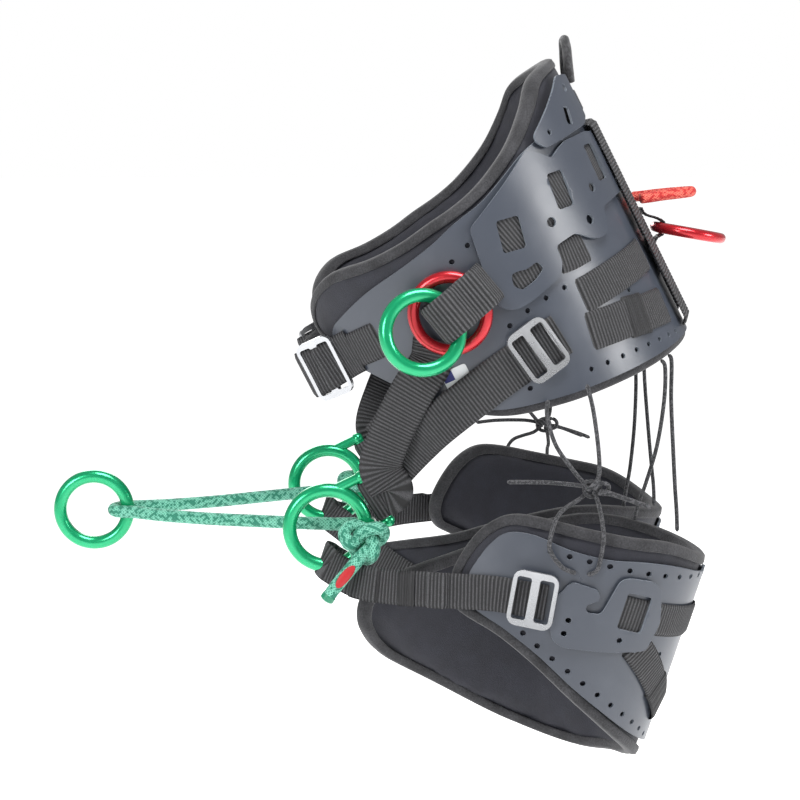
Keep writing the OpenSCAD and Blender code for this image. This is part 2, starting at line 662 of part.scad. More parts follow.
module rear_rope_loop() {
    color("#e2332f") cord(rear_rope_route, rear_rope_d, 12);
}
top_loop_d = 8;
top_loop_route = [[13, 81, 174], [13, 79, 190], [10.5, 78, 202], [6, 77, 209], [0, 77, 211],
    [-6, 77, 209], [-10.5, 78, 202], [-13, 79, 190], [-13, 81, 174]];
module top_loop() {
    color("#17181b") cord(top_loop_route, top_loop_d, 12);
}
module care_label() {
    color("#e8e9ee") belt() strip(-23, -14.5, -58, -36, waist_r + web_in, waist_r + web_in + 0.8);
}

// ---------- elastic cords ----------
knot_at = [176, 82, -146];
elastic_front = [[154.5, 49, -78], [158, 48, -90], [164, 54, -112], [170, 66, -130], knot_at + [-3, -7, 5]];
elastic_back = [[153, 80, -66], [160, 84, -84], [167, 87, -108], [173, 88, -126], knot_at + [0, 5, 9]];
elastic_low_a = [knot_at + [2, -9, -7], [186, 62, -158], [194, 54, -163], [200, 49, -172], [203, 46, -188],
    [204.5, 54, -201], [204.5, 64, -206]];
elastic_low_b = [knot_at + [4, 4, -9], [188, 88, -166], [197, 88, -172], [202.5, 88, -182], [204, 84, -203],
    [204.5, 79, -208]];
module elastic_side() {
    color("#2e3035") {
        cord(elastic_front, elastic_d);
        cord(elastic_back, elastic_d);
        cord(elastic_low_a, elastic_d);
        cord(elastic_low_b, elastic_d);
    }
}
module elastic_rear() {
    color("#2e3035") {
        cord([[74, 161, -57], [70, 162, -90], [66, 165, -130], [62, 168, -165], [60, 170, -185],
            [60, 171, -200]], elastic_d);
        cord([[84, 154, -61], [76, 155, -90], [62, 152, -130], [44, 146, -165], [35, 141, -186],
            [32, 139, -198]], elastic_d);
    }
}
module cord_knot() {
    color("#2e3035") translate(knot_at) {
        sphere(r = 5, $fn = small_fn);
        translate([2, 0, 0]) rotate([30, 50, 0]) torus(5.2, elastic_d / 2);
        translate([1, 0, 0]) rotate([-40, 80, 20]) torus(5, elastic_d / 2);
    }
}

waist_pad();
waist_binding();
back_shell();
back_webbing();
front_strap();
top_loop();
hip_plate();  // hip_plate_left
right() hip_plate();  // hip_plate_right
top_plate();  // top_plate_left
right() top_plate();  // top_plate_right
side_webbing();  // side_webbing_left
right() side_webbing();  // side_webbing_right
front_tab();  // front_tab_left
right() front_tab();  // front_tab_right
front_buckle();  // front_buckle_left
right() front_buckle();  // front_buckle_right
ring_loop();  // ring_loop_left
right() ring_loop();  // ring_loop_right
green_ring();  // green_ring_left
right() green_ring();  // green_ring_right
red_ring();  // red_ring_left
right() red_ring();  // red_ring_right
hip_strap();  // hip_strap_left
right() hip_strap();  // hip_strap_right
lower_strap();  // lower_strap_left
right() lower_strap();  // lower_strap_right
side_buckle();  // side_buckle_left
right() side_buckle();  // side_buckle_right
d_ring();  // d_ring_left
right() d_ring();  // d_ring_right
bridge_rope();
bridge_ring();
stopper_knot();  // stopper_knot_left
right() stopper_knot();  // stopper_knot_right
leg_pad();  // leg_pad_left
right() leg_pad();  // leg_pad_right
leg_binding();  // leg_binding_left
right() leg_binding();  // leg_binding_right
leg_shell();  // leg_shell_left
right() leg_shell();  // leg_shell_right
leg_plate();  // leg_plate_left
right() leg_plate();  // leg_plate_right
leg_webbing();  // leg_webbing_left
right() leg_webbing();  // leg_webbing_right
leg_strap();  // leg_strap_left
right() leg_strap();  // leg_strap_right
leg_buckle();  // leg_buckle_left
right() leg_buckle();  // leg_buckle_right
rear_keeper();
rear_ring();
rear_rope_loop();
care_label();
elastic_side();  // elastic_left
right() elastic_side();  // elastic_right
elastic_rear();  // elastic_rear_left
right() elastic_rear();  // elastic_rear_right
cord_knot();  // cord_knot_left
right() cord_knot();  // cord_knot_right
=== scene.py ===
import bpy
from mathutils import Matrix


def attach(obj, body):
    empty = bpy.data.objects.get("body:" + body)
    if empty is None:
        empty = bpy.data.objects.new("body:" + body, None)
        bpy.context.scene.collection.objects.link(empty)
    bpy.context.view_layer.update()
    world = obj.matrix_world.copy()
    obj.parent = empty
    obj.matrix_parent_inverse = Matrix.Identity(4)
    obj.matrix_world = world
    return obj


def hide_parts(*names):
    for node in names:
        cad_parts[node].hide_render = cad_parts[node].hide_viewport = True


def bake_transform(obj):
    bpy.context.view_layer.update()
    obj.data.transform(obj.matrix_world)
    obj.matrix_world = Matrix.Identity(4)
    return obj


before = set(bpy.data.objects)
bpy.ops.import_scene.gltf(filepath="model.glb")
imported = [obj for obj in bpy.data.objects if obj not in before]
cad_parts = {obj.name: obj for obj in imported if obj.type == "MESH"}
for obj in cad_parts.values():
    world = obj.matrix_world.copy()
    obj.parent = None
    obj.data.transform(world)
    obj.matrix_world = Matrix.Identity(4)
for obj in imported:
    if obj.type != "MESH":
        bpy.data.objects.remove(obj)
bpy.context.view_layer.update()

import math

import bmesh
import bpy
import numpy as np
from mathutils import Vector
from mathutils.geometry import delaunay_2d_cdt

# ---------------------------------------------------------------- camera, lights and floor
# The saddle hangs in a bright white studio, seen square from the wearer's left and a little above.
# One large soft light stands over it, one in front and one behind, and the floor is plain.
aim = np.array([0.0, -0.063, -0.098])
azimuth, elevation, distance = math.radians(88.0), math.radians(7.5), 1.70
look = np.array([-math.sin(azimuth) * math.cos(elevation), math.cos(azimuth) * math.cos(elevation),
                 -math.sin(elevation)])
camera = bpy.data.objects.new("camera", bpy.data.cameras.new("camera"))
camera.data.lens, camera.data.sensor_width = 87.9, 36.0
camera.location = aim - look * distance
camera.rotation_euler = Vector(look).to_track_quat("-Z", "Y").to_euler()
bpy.context.scene.collection.objects.link(camera)
bpy.context.scene.camera = camera


def soft_light(name, place, size, power):
    """A square area light of a given size that faces the middle of the saddle."""
    lamp = bpy.data.lights.new(name, "AREA")
    lamp.size, lamp.energy = size, power
    holder = bpy.data.objects.new(name, lamp)
    holder.location = place
    holder.rotation_euler = (Vector(aim) - Vector(place)).to_track_quat("-Z", "Y").to_euler()
    bpy.context.scene.collection.objects.link(holder)


soft_light("light_over", (0.7, 0.1, 1.6), 0.9, 30)
soft_light("light_front", (1.5, -1.3, 0.5), 0.7, 17)
soft_light("light_back", (0.8, 1.6, 0.6), 0.6, 16)
soft_light("light_far", (-1.6, -0.4, 0.7), 1.0, 16)
world = bpy.data.worlds.new("white_room")
bpy.context.scene.world = world
world.use_nodes = True
world.node_tree.nodes["Background"].inputs["Color"].default_value = (1, 1, 1, 1)
seen_direct = world.node_tree.nodes.new("ShaderNodeLightPath")
glow = world.node_tree.nodes.new("ShaderNodeMapRange")
glow.inputs["To Min"].default_value, glow.inputs["To Max"].default_value = 0.30, 1.0
world.node_tree.links.new(seen_direct.outputs["Is Camera Ray"], glow.inputs["Value"])
world.node_tree.links.new(glow.outputs["Result"], world.node_tree.nodes["Background"].inputs["Strength"])
bpy.context.scene.view_settings.view_transform = "Standard"
floor_mesh = bpy.data.meshes.new("floor")
floor_mesh.from_pydata([(-40, -40, -0.62), (40, -40, -0.62), (40, 40, -0.62), (-40, 40, -0.62)], [], [(0, 1, 2, 3)])
floor = bpy.data.objects.new("floor", floor_mesh)
bpy.context.scene.collection.objects.link(floor)
floor_paint = bpy.data.materials.new("floor_paint")
floor_paint.use_nodes = True
floor_paint.node_tree.nodes["Principled BSDF"].inputs["Base Color"].default_value = (0.85, 0.85, 0.85, 1)
floor_paint.node_tree.nodes["Principled BSDF"].inputs["Roughness"].default_value = 0.9
floor_paint.node_tree.nodes["Principled BSDF"].inputs["Emission Color"].default_value = (1, 1, 1, 1)
floor_paint.node_tree.nodes["Principled BSDF"].inputs["Emission Strength"].default_value = 0.85
floor.data.materials.append(floor_paint)

# ---------------------------------------------------------------- rope bridge
# A 10.5 mm braided mint rope: from the tail of one stopper knot, through the left D ring, round the
# sliding ring and back through the right D ring to the other knot. It is one length of rope.
ROPE = 0.0105


def unit(v):
    """Vectors divided by their own length."""
    return v / np.maximum(np.linalg.norm(v, axis=-1, keepdims=True), 1e-12)


def smooth_route(points, spacing):
    """A Catmull-Rom curve through the points, cut into equal steps of about the spacing."""
    p = np.asarray(points, float)
    q = np.vstack([2 * p[:1] - p[1:2], p, 2 * p[-1:] - p[-2:-1]])
    t = np.linspace(0, 1, 24, endpoint=False)[:, None, None]
    a, b, c, d = q[:-3], q[1:-2], q[2:-1], q[3:]
    s = 0.5 * (2 * b + (c - a) * t + (2 * a - 5 * b + 4 * c - d) * t**2 + (3 * b - a - 3 * c + d) * t**3)
    line = np.vstack([s.transpose(1, 0, 2).reshape(-1, p.shape[1]), p[-1:]])
    run = np.r_[0, np.cumsum(np.linalg.norm(np.diff(line, axis=0), axis=1))]
    at = np.linspace(0, run[-1], max(4, int(run[-1] / spacing)) + 1)
    return np.column_stack([np.interp(at, run, line[:, k]) for k in range(p.shape[1])])


def run_of(route):
    """Distance along a route at each of its points."""
    return np.r_[0, np.cumsum(np.linalg.norm(np.diff(route, axis=0), axis=1))]


def steady_sides(route, first=(0, 0, 1)):
    """Two directions across a route at each point, turned as little as possible from one to the next."""
    t = unit(np.gradient(route, axis=0))
    u = np.zeros_like(t)
    last = np.asarray(first, float)
    for i, step in enumerate(t):
        last = last - step * last.dot(step)
        last = last / np.linalg.norm(last)
        u[i] = last
    return u, np.cross(t, u)


def lay_grid(name, points, u, v, around=False, ends=False, flip=False):
    """A mesh of quads between the neighbours of an n by m grid of points, with a UV map of u and v in metres.
    around joins the last column to the first, and ends closes the first and last rows with one face each."""
    n, m = points.shape[:2]
    i, j = np.meshgrid(np.arange(n - 1), np.arange(m if around else m - 1), indexing="ij")
    i, j = i.ravel(), j.ravel()
    k = (j + 1) % m
    quads = np.column_stack([i * m + j, i * m + k, (i + 1) * m + k, (i + 1) * m + j])
    corner = np.stack([np.column_stack([u[i], u[i], u[i + 1], u[i + 1]]),
                       np.column_stack([v[j], v[j + 1], v[j + 1], v[j]])], -1)
    if flip:
        quads, corner = quads[:, ::-1], corner[:, ::-1]
    faces = quads.tolist()
    uv = corner.reshape(-1, 2)
    if ends:
        caps = [list(range(m)), [(n - 1) * m + c for c in range(m)]]
        caps[0 if not flip else 1].reverse()
        faces += caps
        uv = np.vstack([uv, np.tile([u[0], v[0]], (m, 1)), np.tile([u[-1], v[0]], (m, 1))])
    mesh = bpy.data.meshes.new(name)
    mesh.from_pydata(points.reshape(-1, 3).tolist(), [], faces)
    layer = mesh.uv_layers.new(name="UVMap")
    layer.data.foreach_set("uv", uv.astype(np.float32).ravel())
    mesh.shade_smooth()
    piece = bpy.data.objects.new(name, mesh)
    bpy.context.scene.collection.objects.link(piece)
    return piece


def turn_outwards(piece):
    """Makes every face of a closed piece look outwards."""
    work = bmesh.new()
    work.from_mesh(piece.data)
    bmesh.ops.recalc_face_normals(work, faces=work.faces)
    work.to_mesh(piece.data)
    work.free()
    return piece


def tube(name, route, radius, sides, relief=None, first=(0, 0, 1)):
    """A round section carried along a route: radius times (1 + relief(distance, turn)), with both ends
    drawn in over a few steps and closed."""
    u, w = steady_sides(route, first)
    run = run_of(route)
    turn = np.linspace(0, 1, sides + 1)
    a = 2 * np.pi * turn[:-1]
    r = np.full((len(route), sides), radius)
    if relief is not None:
        r = r * (1 + relief(run[:, None], turn[None, :-1]))
    close = np.minimum(run, run[-1] - run) / (radius * 0.35)
    r = r * np.sqrt(np.clip(1 - (1 - np.clip(close, 0, 1)) ** 2, 0.12, 1))[:, None]
    points = route[:, None] + r[..., None] * (np.cos(a)[None, :, None] * u[:, None] + np.sin(a)[None, :, None] * w[:, None])
    return turn_outwards(lay_grid(name, points, run, turn, around=True, ends=True))


def shader(name, colour, roughness, **values):
    """A new material with a Principled shader whose constant sockets are set by name."""
    material = bpy.data.materials.new(name)
    material.use_nodes = True
    surface = material.node_tree.nodes["Principled BSDF"]
    surface.inputs["Base Color"].default_value = (*colour, 1)
    surface.inputs["Roughness"].default_value = roughness
    for key, value in values.items():
        socket = surface.inputs[key.replace("_", " ")]
        socket.default_value = (*value, 1) if isinstance(value, tuple) else value
    return material


def node(tree, kind, operation=None, **values):
    """A new node, with its operation and input values set, where a value may be another node's output."""
    made = tree.nodes.new("ShaderNode" + kind)
    if operation:
        made.operation = operation
    for key, value in values.items():
        socket = made.inputs[int(key[1:])] if key[0] == "i" and key[1:].isdigit() else made.inputs[key.replace("_", " ")]
        if isinstance(value, bpy.types.NodeSocket):
            tree.links.new(value, socket)
        else:
            socket.default_value = value
    return made


def shared_effect(name, inputs, outputs):
    """An empty shader node group with named inputs and outputs, and its two end nodes."""
    tree = bpy.data.node_groups.new(name, "ShaderNodeTree")
    for label, kind, value in inputs:
        tree.interface.new_socket(label, in_out="INPUT", socket_type=kind).default_value = value
    for label, kind in outputs:
        tree.interface.new_socket(label, in_out="OUTPUT", socket_type=kind)
    return tree, tree.nodes.new("NodeGroupInput"), tree.nodes.new("NodeGroupOutput")


def use_effect(material, effect, **values):
    """Places a shared effect in a material with its own values."""
    made = material.node_tree.nodes.new("ShaderNodeGroup")
    made.node_tree = effect
    for key, value in values.items():
        made.inputs[key.replace("_", " ")].default_value = value
    return made


def raise_surface(material, height, strength, depth):
    """Feeds a height into the material's normal through a Bump node."""
    tree = material.node_tree
    bump = node(tree, "Bump", Strength=strength, Distance=depth, Height=height)
    tree.links.new(bump.outputs["Normal"], tree.nodes["Principled BSDF"].inputs["Normal"])


BRAID_PITCH = 0.0125
STRANDS = 12


def braid_height(run, turn):
    """Two families of strands cross each other round a rope: each is a cosine of distance plus or minus
    turn, and the higher of the two shows."""
    a = np.cos(2 * np.pi * (run / BRAID_PITCH * 4 + turn * STRANDS))
    b = np.cos(2 * np.pi * (run / BRAID_PITCH * 4 - turn * STRANDS))
    return 0.035 * np.maximum(a, b)


# Braid: the same two families of strands, with paler flecks on some strands; on those strands the colour is painted
# lighter on each crest and darker towards the grooves, as painted highlight and painted shade.
braid, entry, leave = shared_effect("braid", [
    ("Along", "NodeSocketFloat", 320.0), ("Around", "NodeSocketFloat", 12.0),
    ("Dark", "NodeSocketColor", (0.05, 0.2, 0.15, 1)), ("Light", "NodeSocketColor", (0.5, 0.8, 0.7, 1)),
    ("Flecks", "NodeSocketFloat", 0.4)], [("Colour", "NodeSocketColor"), ("Height", "NodeSocketFloat")])
where = node(braid, "SeparateXYZ", Vector=node(braid, "TexCoord").outputs["UV"])
along = node(braid, "Math", "MULTIPLY", i0=where.outputs["X"], i1=entry.outputs["Along"])
around = node(braid, "Math", "MULTIPLY", i0=where.outputs["Y"], i1=entry.outputs["Around"])
one = node(braid, "Math", "ADD", i0=along.outputs[0], i1=around.outputs[0])
two = node(braid, "Math", "SUBTRACT", i0=along.outputs[0], i1=around.outputs[0])
waves = []
for strand in (one, two):
    turned = node(braid, "Math", "MULTIPLY", i0=strand.outputs[0], i1=2 * math.pi)
    waves.append(node(braid, "Math", "COSINE", i0=turned.outputs[0]))
top = node(braid, "Math", "MAXIMUM", i0=waves[0].outputs[0], i1=waves[1].outputs[0])
height = node(braid, "Math", "MULTIPLY_ADD", i0=top.outputs[0], i1=0.5, i2=0.5)
cell = node(braid, "CombineXYZ", X=node(braid, "Math", "FLOOR", i0=one.outputs[0]).outputs[0],
            Y=node(braid, "Math", "FLOOR", i0=two.outputs[0]).outputs[0])
chance = node(braid, "TexWhiteNoise", Vector=cell.outputs[0])
pale = node(braid, "Math", "LESS_THAN", i0=chance.outputs["Value"], i1=entry.outputs["Flecks"])
# Pale strands take the light colour by strand height: painted highlight on the crests, painted shade towards the
# grooves.
pale_fleck_painted_crest_light = node(braid, "Math", "MULTIPLY", i0=pale.outputs[0], i1=height.outputs[0])
mixed = node(braid, "Mix", Factor=pale_fleck_painted_crest_light.outputs[0])
mixed.data_type = "RGBA"
braid.links.new(pale_fleck_painted_crest_light.outputs[0], mixed.inputs[0])
braid.links.new(entry.outputs["Dark"], mixed.inputs[6])
braid.links.new(entry.outputs["Light"], mixed.inputs[7])
braid.links.new(mixed.outputs[2], leave.inputs["Colour"])
braid.links.new(height.outputs[0], leave.inputs["Height"])


def braided(name, dark, light, flecks, along=320.0, around=12.0, sheen=0.35):
    """A braided cover in two colours; its pale strands are painted lighter on their crests and darker in the grooves,
    as painted highlight and shade.
    """
    material = shader(name, dark, 0.62, Sheen_Weight=sheen, Sheen_Roughness=0.45)
    tree = material.node_tree
    cover = use_effect(material, braid, Along=along, Around=around, Dark=(*dark, 1), Light=(*light, 1), Flecks=flecks)
    tree.links.new(cover.outputs["Colour"], tree.nodes["Principled BSDF"].inputs["Base Color"])
    raise_surface(material, cover.outputs["Height"], 0.8, 0.0006)
    return material


mint = braided("mint_braid", (0.015, 0.20, 0.125), (0.20, 0.58, 0.43), 0.6, sheen=0.1)
bore_y, bore_z = -0.0945, -0.190
knot_middle = np.array([0.1255, bore_y - 0.002, bore_z - 0.006])
loop_t = np.linspace(0.42, 2 * np.pi - 0.30, 34)
loop = np.column_stack([0.0052 * np.sin(3 * loop_t) * 1.05,
                        -0.0052 * (np.sin(loop_t) + 2 * np.sin(2 * loop_t)) * 1.12,
                        0.0052 * (np.cos(loop_t) - 2 * np.cos(2 * loop_t))])
knot = knot_middle + loop
knot_tail = knot_middle + np.array([[0.0100, -0.0030, -0.0120], [0.0165, -0.0085, -0.0170], [0.0205, -0.0160, -0.025],
                                    [0.0220, -0.0250, -0.036], [0.0218, -0.0310, -0.0445]])
side_run = np.array([[0.105, bore_y, bore_z], [0.097, -0.0948, -0.190], [0.091, -0.098, -0.190], [0.087, -0.106, -0.190],
                     [0.083, -0.118, -0.191], [0.073, -0.146, -0.192], [0.058, -0.184, -0.193], [0.042, -0.224, -0.194],
                     [0.026, -0.264, -0.194], [0.0145, -0.292, -0.193], [0.012, -0.301, -0.193], [0.0085, -0.309, -0.193]])
half = np.vstack([knot_tail[::-1], knot[::-1], knot_middle + [[-0.0088, 0.001, 0.004]], side_run])
bridge_points = np.vstack([half, [[0, -0.3125, -0.193]], (half * [-1, 1, 1])[::-1]])
bridge_route = smooth_route(bridge_points, 0.0009)
bridge = tube("bridge_rope_braided", bridge_route, ROPE / 2, 36, braid_height)
bridge.data.materials.append(mint)
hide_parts("bridge_rope", "stopper_knot_left", "stopper_knot_right")
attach(bridge, "bridge")

# The red dye mark and the sealed dark end on each tail of the rope are thin sleeves of their own.
tail_turn = {"left": 1.0, "right": -1.0}
dyed = shader("red_dye", (0.42, 0.012, 0.016), 0.5)
sealed = shader("melted_end", (0.02, 0.22, 0.12), 0.3)
for side, way in tail_turn.items():
    line = smooth_route(knot_tail * [way, 1, 1], 0.0008)
    run = run_of(line)
    part = line[(run > 0.012) & (run < 0.033)]
    u, w = steady_sides(part, first=(way, 0, 0))
    lean = np.linspace(-0.75, 0.75, 13)
    reach = np.sqrt(np.clip(1 - np.linspace(-1, 1, len(part)) ** 2, 0.02, 1))
    turn_at = lean[None, :] * reach[:, None]
    patch = part[:, None] + (ROPE / 2 + 0.00045) * (np.cos(turn_at)[..., None] * u[:, None]
                                                    + np.sin(turn_at)[..., None] * w[:, None])
    mark = lay_grid("rope_mark_" + side, patch, run_of(part), lean)
    turn_outwards(mark)
    thick = mark.modifiers.new("thickness", "SOLIDIFY")
    thick.thickness, thick.offset = 0.0007, 0
    mark.data.materials.append(dyed)
    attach(mark, "bridge")
    end = line[-9:] + 0.0004 * unit(line[-1] - line[-2]) * np.linspace(0, 3, 9)[:, None]
    cap = tube("rope_end_" + side, smooth_route(end, 0.0006), ROPE / 2 + 0.0005, 28)
    cap.data.materials.append(sealed)
    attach(cap, "bridge")

# ---------------------------------------------------------------- rear rope loop and top loop
# A short bight of red accessory rope stands out behind the back, and a ribbed black cord loop stands
# on the pad's top edge to hang the saddle by. Each is sewn in at both ends.
red_braid = braided("red_braid", (0.50, 0.012, 0.010), (0.80, 0.16, 0.11), 0.5, sheen=0.1)
black_cord = braided("black_cord", (0.008, 0.008, 0.010), (0.06, 0.06, 0.065), 0.5, along=420.0)


def loop_of_cord(name, points, diameter, covering, body, node_name):
    """A closed-ended cord along a smooth line of points, sewn in at both ends."""
    route = smooth_route(points, 0.0009)
    piece = tube(name, route, diameter / 2, 30, lambda run, turn: 0.8 * braid_height(run, turn), first=(0, 1, 1))
    piece.data.materials.append(covering)
    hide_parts(node_name)
    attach(piece, body)


rear_rope = np.array([[24, 140, 77], [22, 149, 78], [19, 160, 79.5], [15, 174, 81], [9, 184, 82], [0, 188, 82.5]]) / 1000
loop_of_cord("rear_rope_braided", np.vstack([rear_rope, (rear_rope * [-1, 1, 1])[-2::-1]]), 0.009, red_braid,
             "rear_rope_loop", "rear_rope_loop")
top_rope = np.array([[13, 81, 174], [13, 79, 190], [10.5, 78, 202], [6, 77, 209], [0, 77, 211]]) / 1000
loop_of_cord("top_loop_ribbed", np.vstack([top_rope, (top_rope * [-1, 1, 1])[-2::-1]]), 0.008, black_cord,
             "top_loop", "top_loop")

# ---------------------------------------------------------------- elastic suspension cords
# Covered elastic cord runs from the lower edge of the belt to a knot on each side, and from the knot
# through two holes of the leg shell. Two more strands hold the back of each leg loop.
ELASTIC = 0.0035
elastic_cover = braided("elastic_cover", (0.018, 0.019, 0.023), (0.12, 0.12, 0.13), 0.35, along=700.0, around=8.0,
                        sheen=0.15)
cord_knot_at = np.array([176.0, 82, -146])
strands = {
    "elastic_front": [[154.5, 49, -78], [158, 48, -90], [164, 54, -112], [170, 66, -130], [173, 75, -141], [177, 81, -148]],
    "elastic_back": [[153, 80, -66], [160, 84, -84], [167, 87, -108], [173, 88, -126], [176, 87, -137], [177, 82, -145]],
    "elastic_low_a": [[176, 80, -146], [178, 73, -153], [186, 62, -158], [194, 54, -163], [200, 49, -172], [203, 46, -188],
                      [204.5, 54, -201], [204.0, 62, -206], [201.0, 67, -208]],
    "elastic_low_b": [[177, 83, -147], [180, 86, -155], [188, 88, -166], [197, 88, -172], [202.5, 88, -182], [204, 84, -203],
                      [203.8, 79, -208], [201.0, 76, -209]],
    "elastic_rear_a": [[74, 158, -51], [74, 161, -57], [70, 162, -90], [66, 165, -130], [62, 168, -165], [60, 170, -185],
                       [60, 171, -204]],
    "elastic_rear_b": [[86, 150, -54], [84, 154, -61], [76, 155, -90], [62, 152, -130], [44, 146, -165], [35, 141, -186],
                       [31, 138, -203]],
}
knot_wraps = {  # turns of the same cord that make the stopper knot, and its two cut tails
    "elastic_wrap_a": [[6 * math.cos(a), 5.5 * math.sin(a), 2.5 * math.sin(2 * a) + 0.6 * a]
                       for a in np.linspace(0, 7.6, 22)],
    "elastic_wrap_b": [[1 + 2.2 * math.sin(2 * a), 6.2 * math.cos(a), 6.0 * math.sin(a)] for a in np.linspace(0.4, 7.0, 20)],
    "elastic_wrap_c": [[2 + 3 * math.cos(a), 8 + 5 * math.sin(a), 4.4 * math.cos(a) + 1] for a in np.linspace(0, 6.6, 16)],
    "elastic_tail_a": [[3, 5, -1], [6, 12, -2], [7, 21, -5], [7, 31, -9], [6, 39, -12]],
    "elastic_tail_b": [[4, 4, -3], [8, 13, -3], [9, 24, -6], [9, 36, -10], [8, 46, -14]],
    "elastic_tail_c": [[2, -4, 2], [3, -16, 4], [0, -32, 5], [-4, -50, 5], [-10, -66, 4]],
}
for side, way in (("left", 1), ("right", -1)):
    for name, points in {**strands, **knot_wraps}.items():
        spot = np.array(points, float) if name in strands else cord_knot_at + np.array(points)
        route = smooth_route(spot / 1000 * [way, 1, 1], 0.0016)
        cord = tube(f"{name}_{side}", route, ELASTIC / 2, 12)
        cord.data.materials.append(elastic_cover)
        reaches_leg = "low" in name or "rear" in name
        if reaches_leg:
            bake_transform(cord)
        else:
            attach(cord, "saddle")
        if name == "elastic_front":
            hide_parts(f"elastic_{side}")
        if name == "elastic_rear_a":
            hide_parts(f"elastic_rear_{side}")
        if name == "elastic_wrap_a":
            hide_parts(f"cord_knot_{side}")

# ---------------------------------------------------------------- rings and D rings
# Forged aluminium, anodised a glossy green or red. The rings keep the frame's own solids; the finish
# has a faint fine grain and is a little worn in random patches.
worn, entry, leave = shared_effect("worn", [
    ("Colour", "NodeSocketColor", (0.5, 0.5, 0.5, 1)), ("Bare", "NodeSocketColor", (0.7, 0.7, 0.7, 1)),
    ("Scale", "NodeSocketFloat", 40.0), ("Amount", "NodeSocketFloat", 0.2), ("Roughness", "NodeSocketFloat", 0.3)],
    [("Colour", "NodeSocketColor"), ("Roughness", "NodeSocketFloat"), ("Height", "NodeSocketFloat")])
object_place = node(worn, "TexCoord").outputs["Object"]
coarse = node(worn, "TexNoise", Vector=object_place, Detail=5.0)
worn.links.new(entry.outputs["Scale"], coarse.inputs["Scale"])
fine = node(worn, "TexNoise", Vector=object_place, Scale=900.0, Detail=3.0)
rubbed = node(worn, "MapRange", Value=coarse.outputs["Fac"])
rubbed.inputs["From Min"].default_value, rubbed.inputs["From Max"].default_value = 0.52, 0.78
share = node(worn, "Math", "MULTIPLY", i0=rubbed.outputs["Result"], i1=entry.outputs["Amount"])
mixed = node(worn, "Mix")
mixed.data_type = "RGBA"
worn.links.new(share.outputs[0], mixed.inputs[0])
worn.links.new(entry.outputs["Colour"], mixed.inputs[6])
worn.links.new(entry.outputs["Bare"], mixed.inputs[7])
worn.links.new(mixed.outputs[2], leave.inputs["Colour"])
shift = node(worn, "Math", "MULTIPLY_ADD", i0=coarse.outputs["Fac"], i1=0.22, i2=-0.11)
rough = node(worn, "Math", "ADD", i0=shift.outputs[0], i1=entry.outputs["Roughness"])
worn.links.new(rough.outputs[0], leave.inputs["Roughness"])
worn.links.new(fine.outputs["Fac"], leave.inputs["Height"])


def weathered(name, colour, bare, roughness, amount=0.2, scale=40.0, grain=0.0001, **values):
    """A smooth finish with rubbed patches, uneven gloss and a very fine grain."""
    material = shader(name, colour, roughness, **values)
    tree = material.node_tree
    patina = use_effect(material, worn, Colour=(*colour, 1), Bare=(*bare, 1), Scale=scale, Amount=amount,
                        Roughness=roughness)
    surface = tree.nodes["Principled BSDF"]
    tree.links.new(patina.outputs["Colour"], surface.inputs["Base Color"])
    tree.links.new(patina.outputs["Roughness"], surface.inputs["Roughness"])
    raise_surface(material, patina.outputs["Height"], 0.35, grain)
    return material


green = weathered("green_anodised", (0.005, 0.40, 0.16), (0.06, 0.62, 0.34), 0.24, Metallic=0.55, Coat_Weight=0.5,
                  Coat_Roughness=0.08)
red = weathered("red_anodised", (0.52, 0.012, 0.022), (0.75, 0.10, 0.10), 0.25, Metallic=0.6, Coat_Weight=0.5,
                Coat_Roughness=0.08)
for name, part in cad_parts.items():
    finish = green if name.startswith(("green_ring", "d_ring", "bridge_ring")) else \
        red if name.startswith(("red_ring", "rear_ring")) else None
    if finish:
        part.data.materials.clear()
        part.data.materials.append(finish)

# ---------------------------------------------------------------- waist pad
# A curved foam pad covered all over in one smooth fabric, where the real pad has a brushed lining inside. It is cut
# flat, bent round the wearer and sewn into its binding, so it swells a little between its edges.
WAIST_R, BELT_LEAN = 134.0, 27.0
BELT_MM = math.radians(146.0)  # millimetres round the belt's wall in one degree


def lean(points, degrees):
    """Points turned about the X axis by an angle in degrees."""
    c, s = math.cos(math.radians(degrees)), math.sin(math.radians(degrees))
    x, y, z = np.moveaxis(np.asarray(points, float), -1, 0)
    return np.stack([x, y * c - z * s, y * s + z * c], -1)


def belt_point(around, up, depth):
    """A place on the belt's wall: a circle of radius 134 mm plus the depth, at a distance round it in
    millimetres from the wearer's left, and at a height along it, all leaned forwards."""
    a = np.radians(np.asarray(around) / BELT_MM)
    r = WAIST_R + np.asarray(depth, float)
    return lean(np.stack(np.broadcast_arrays(r * np.cos(a), r * np.sin(a), up), -1), BELT_LEAN) / 1000


def belt_depth(points):
    """Points in the belt's own frame, and their depth above the wearer's side, in millimetres."""
    own = lean(points * 1000, -BELT_LEAN)
    return own, np.hypot(own[:, 0], own[:, 1]) - WAIST_R


def side_to_wall(points, radius):
    """Turns places on a side view of the belt into distances round its wall: the angle is the arc sine
    of the place over the radius."""
    p = np.asarray(points, float)
    return np.column_stack([np.degrees(np.arcsin(np.clip(p[:, 0] / radius, -1, 1))) * BELT_MM, p[:, 1]])


def both_sides(half):
    """A closed line from the half of it on the wearer's left, mirrored in the middle of the back."""
    other = half[::-1] * [-1, 1] + [180 * BELT_MM, 0]
    return np.vstack([half, other])


def soft_loop(corners, spacing, rounding):
    """A closed line through the corners in equal steps, where each point is averaged with its neighbours
    under a bell curve, which rounds the corners."""
    p = np.vstack([corners, corners[:1]])
    run = run_of(p)
    at = np.linspace(0, run[-1], max(12, round(run[-1] / spacing)), endpoint=False)
    line = np.column_stack([np.interp(at, run, p[:, k]) for k in (0, 1)])
    reach = np.arange(-math.ceil(2.5 * rounding / spacing), math.ceil(2.5 * rounding / spacing) + 1)
    weight = np.exp(-0.5 * (reach * spacing / rounding) ** 2)
    return sum(w * np.roll(line, -k, axis=0) for k, w in zip(reach, weight / weight.sum()))


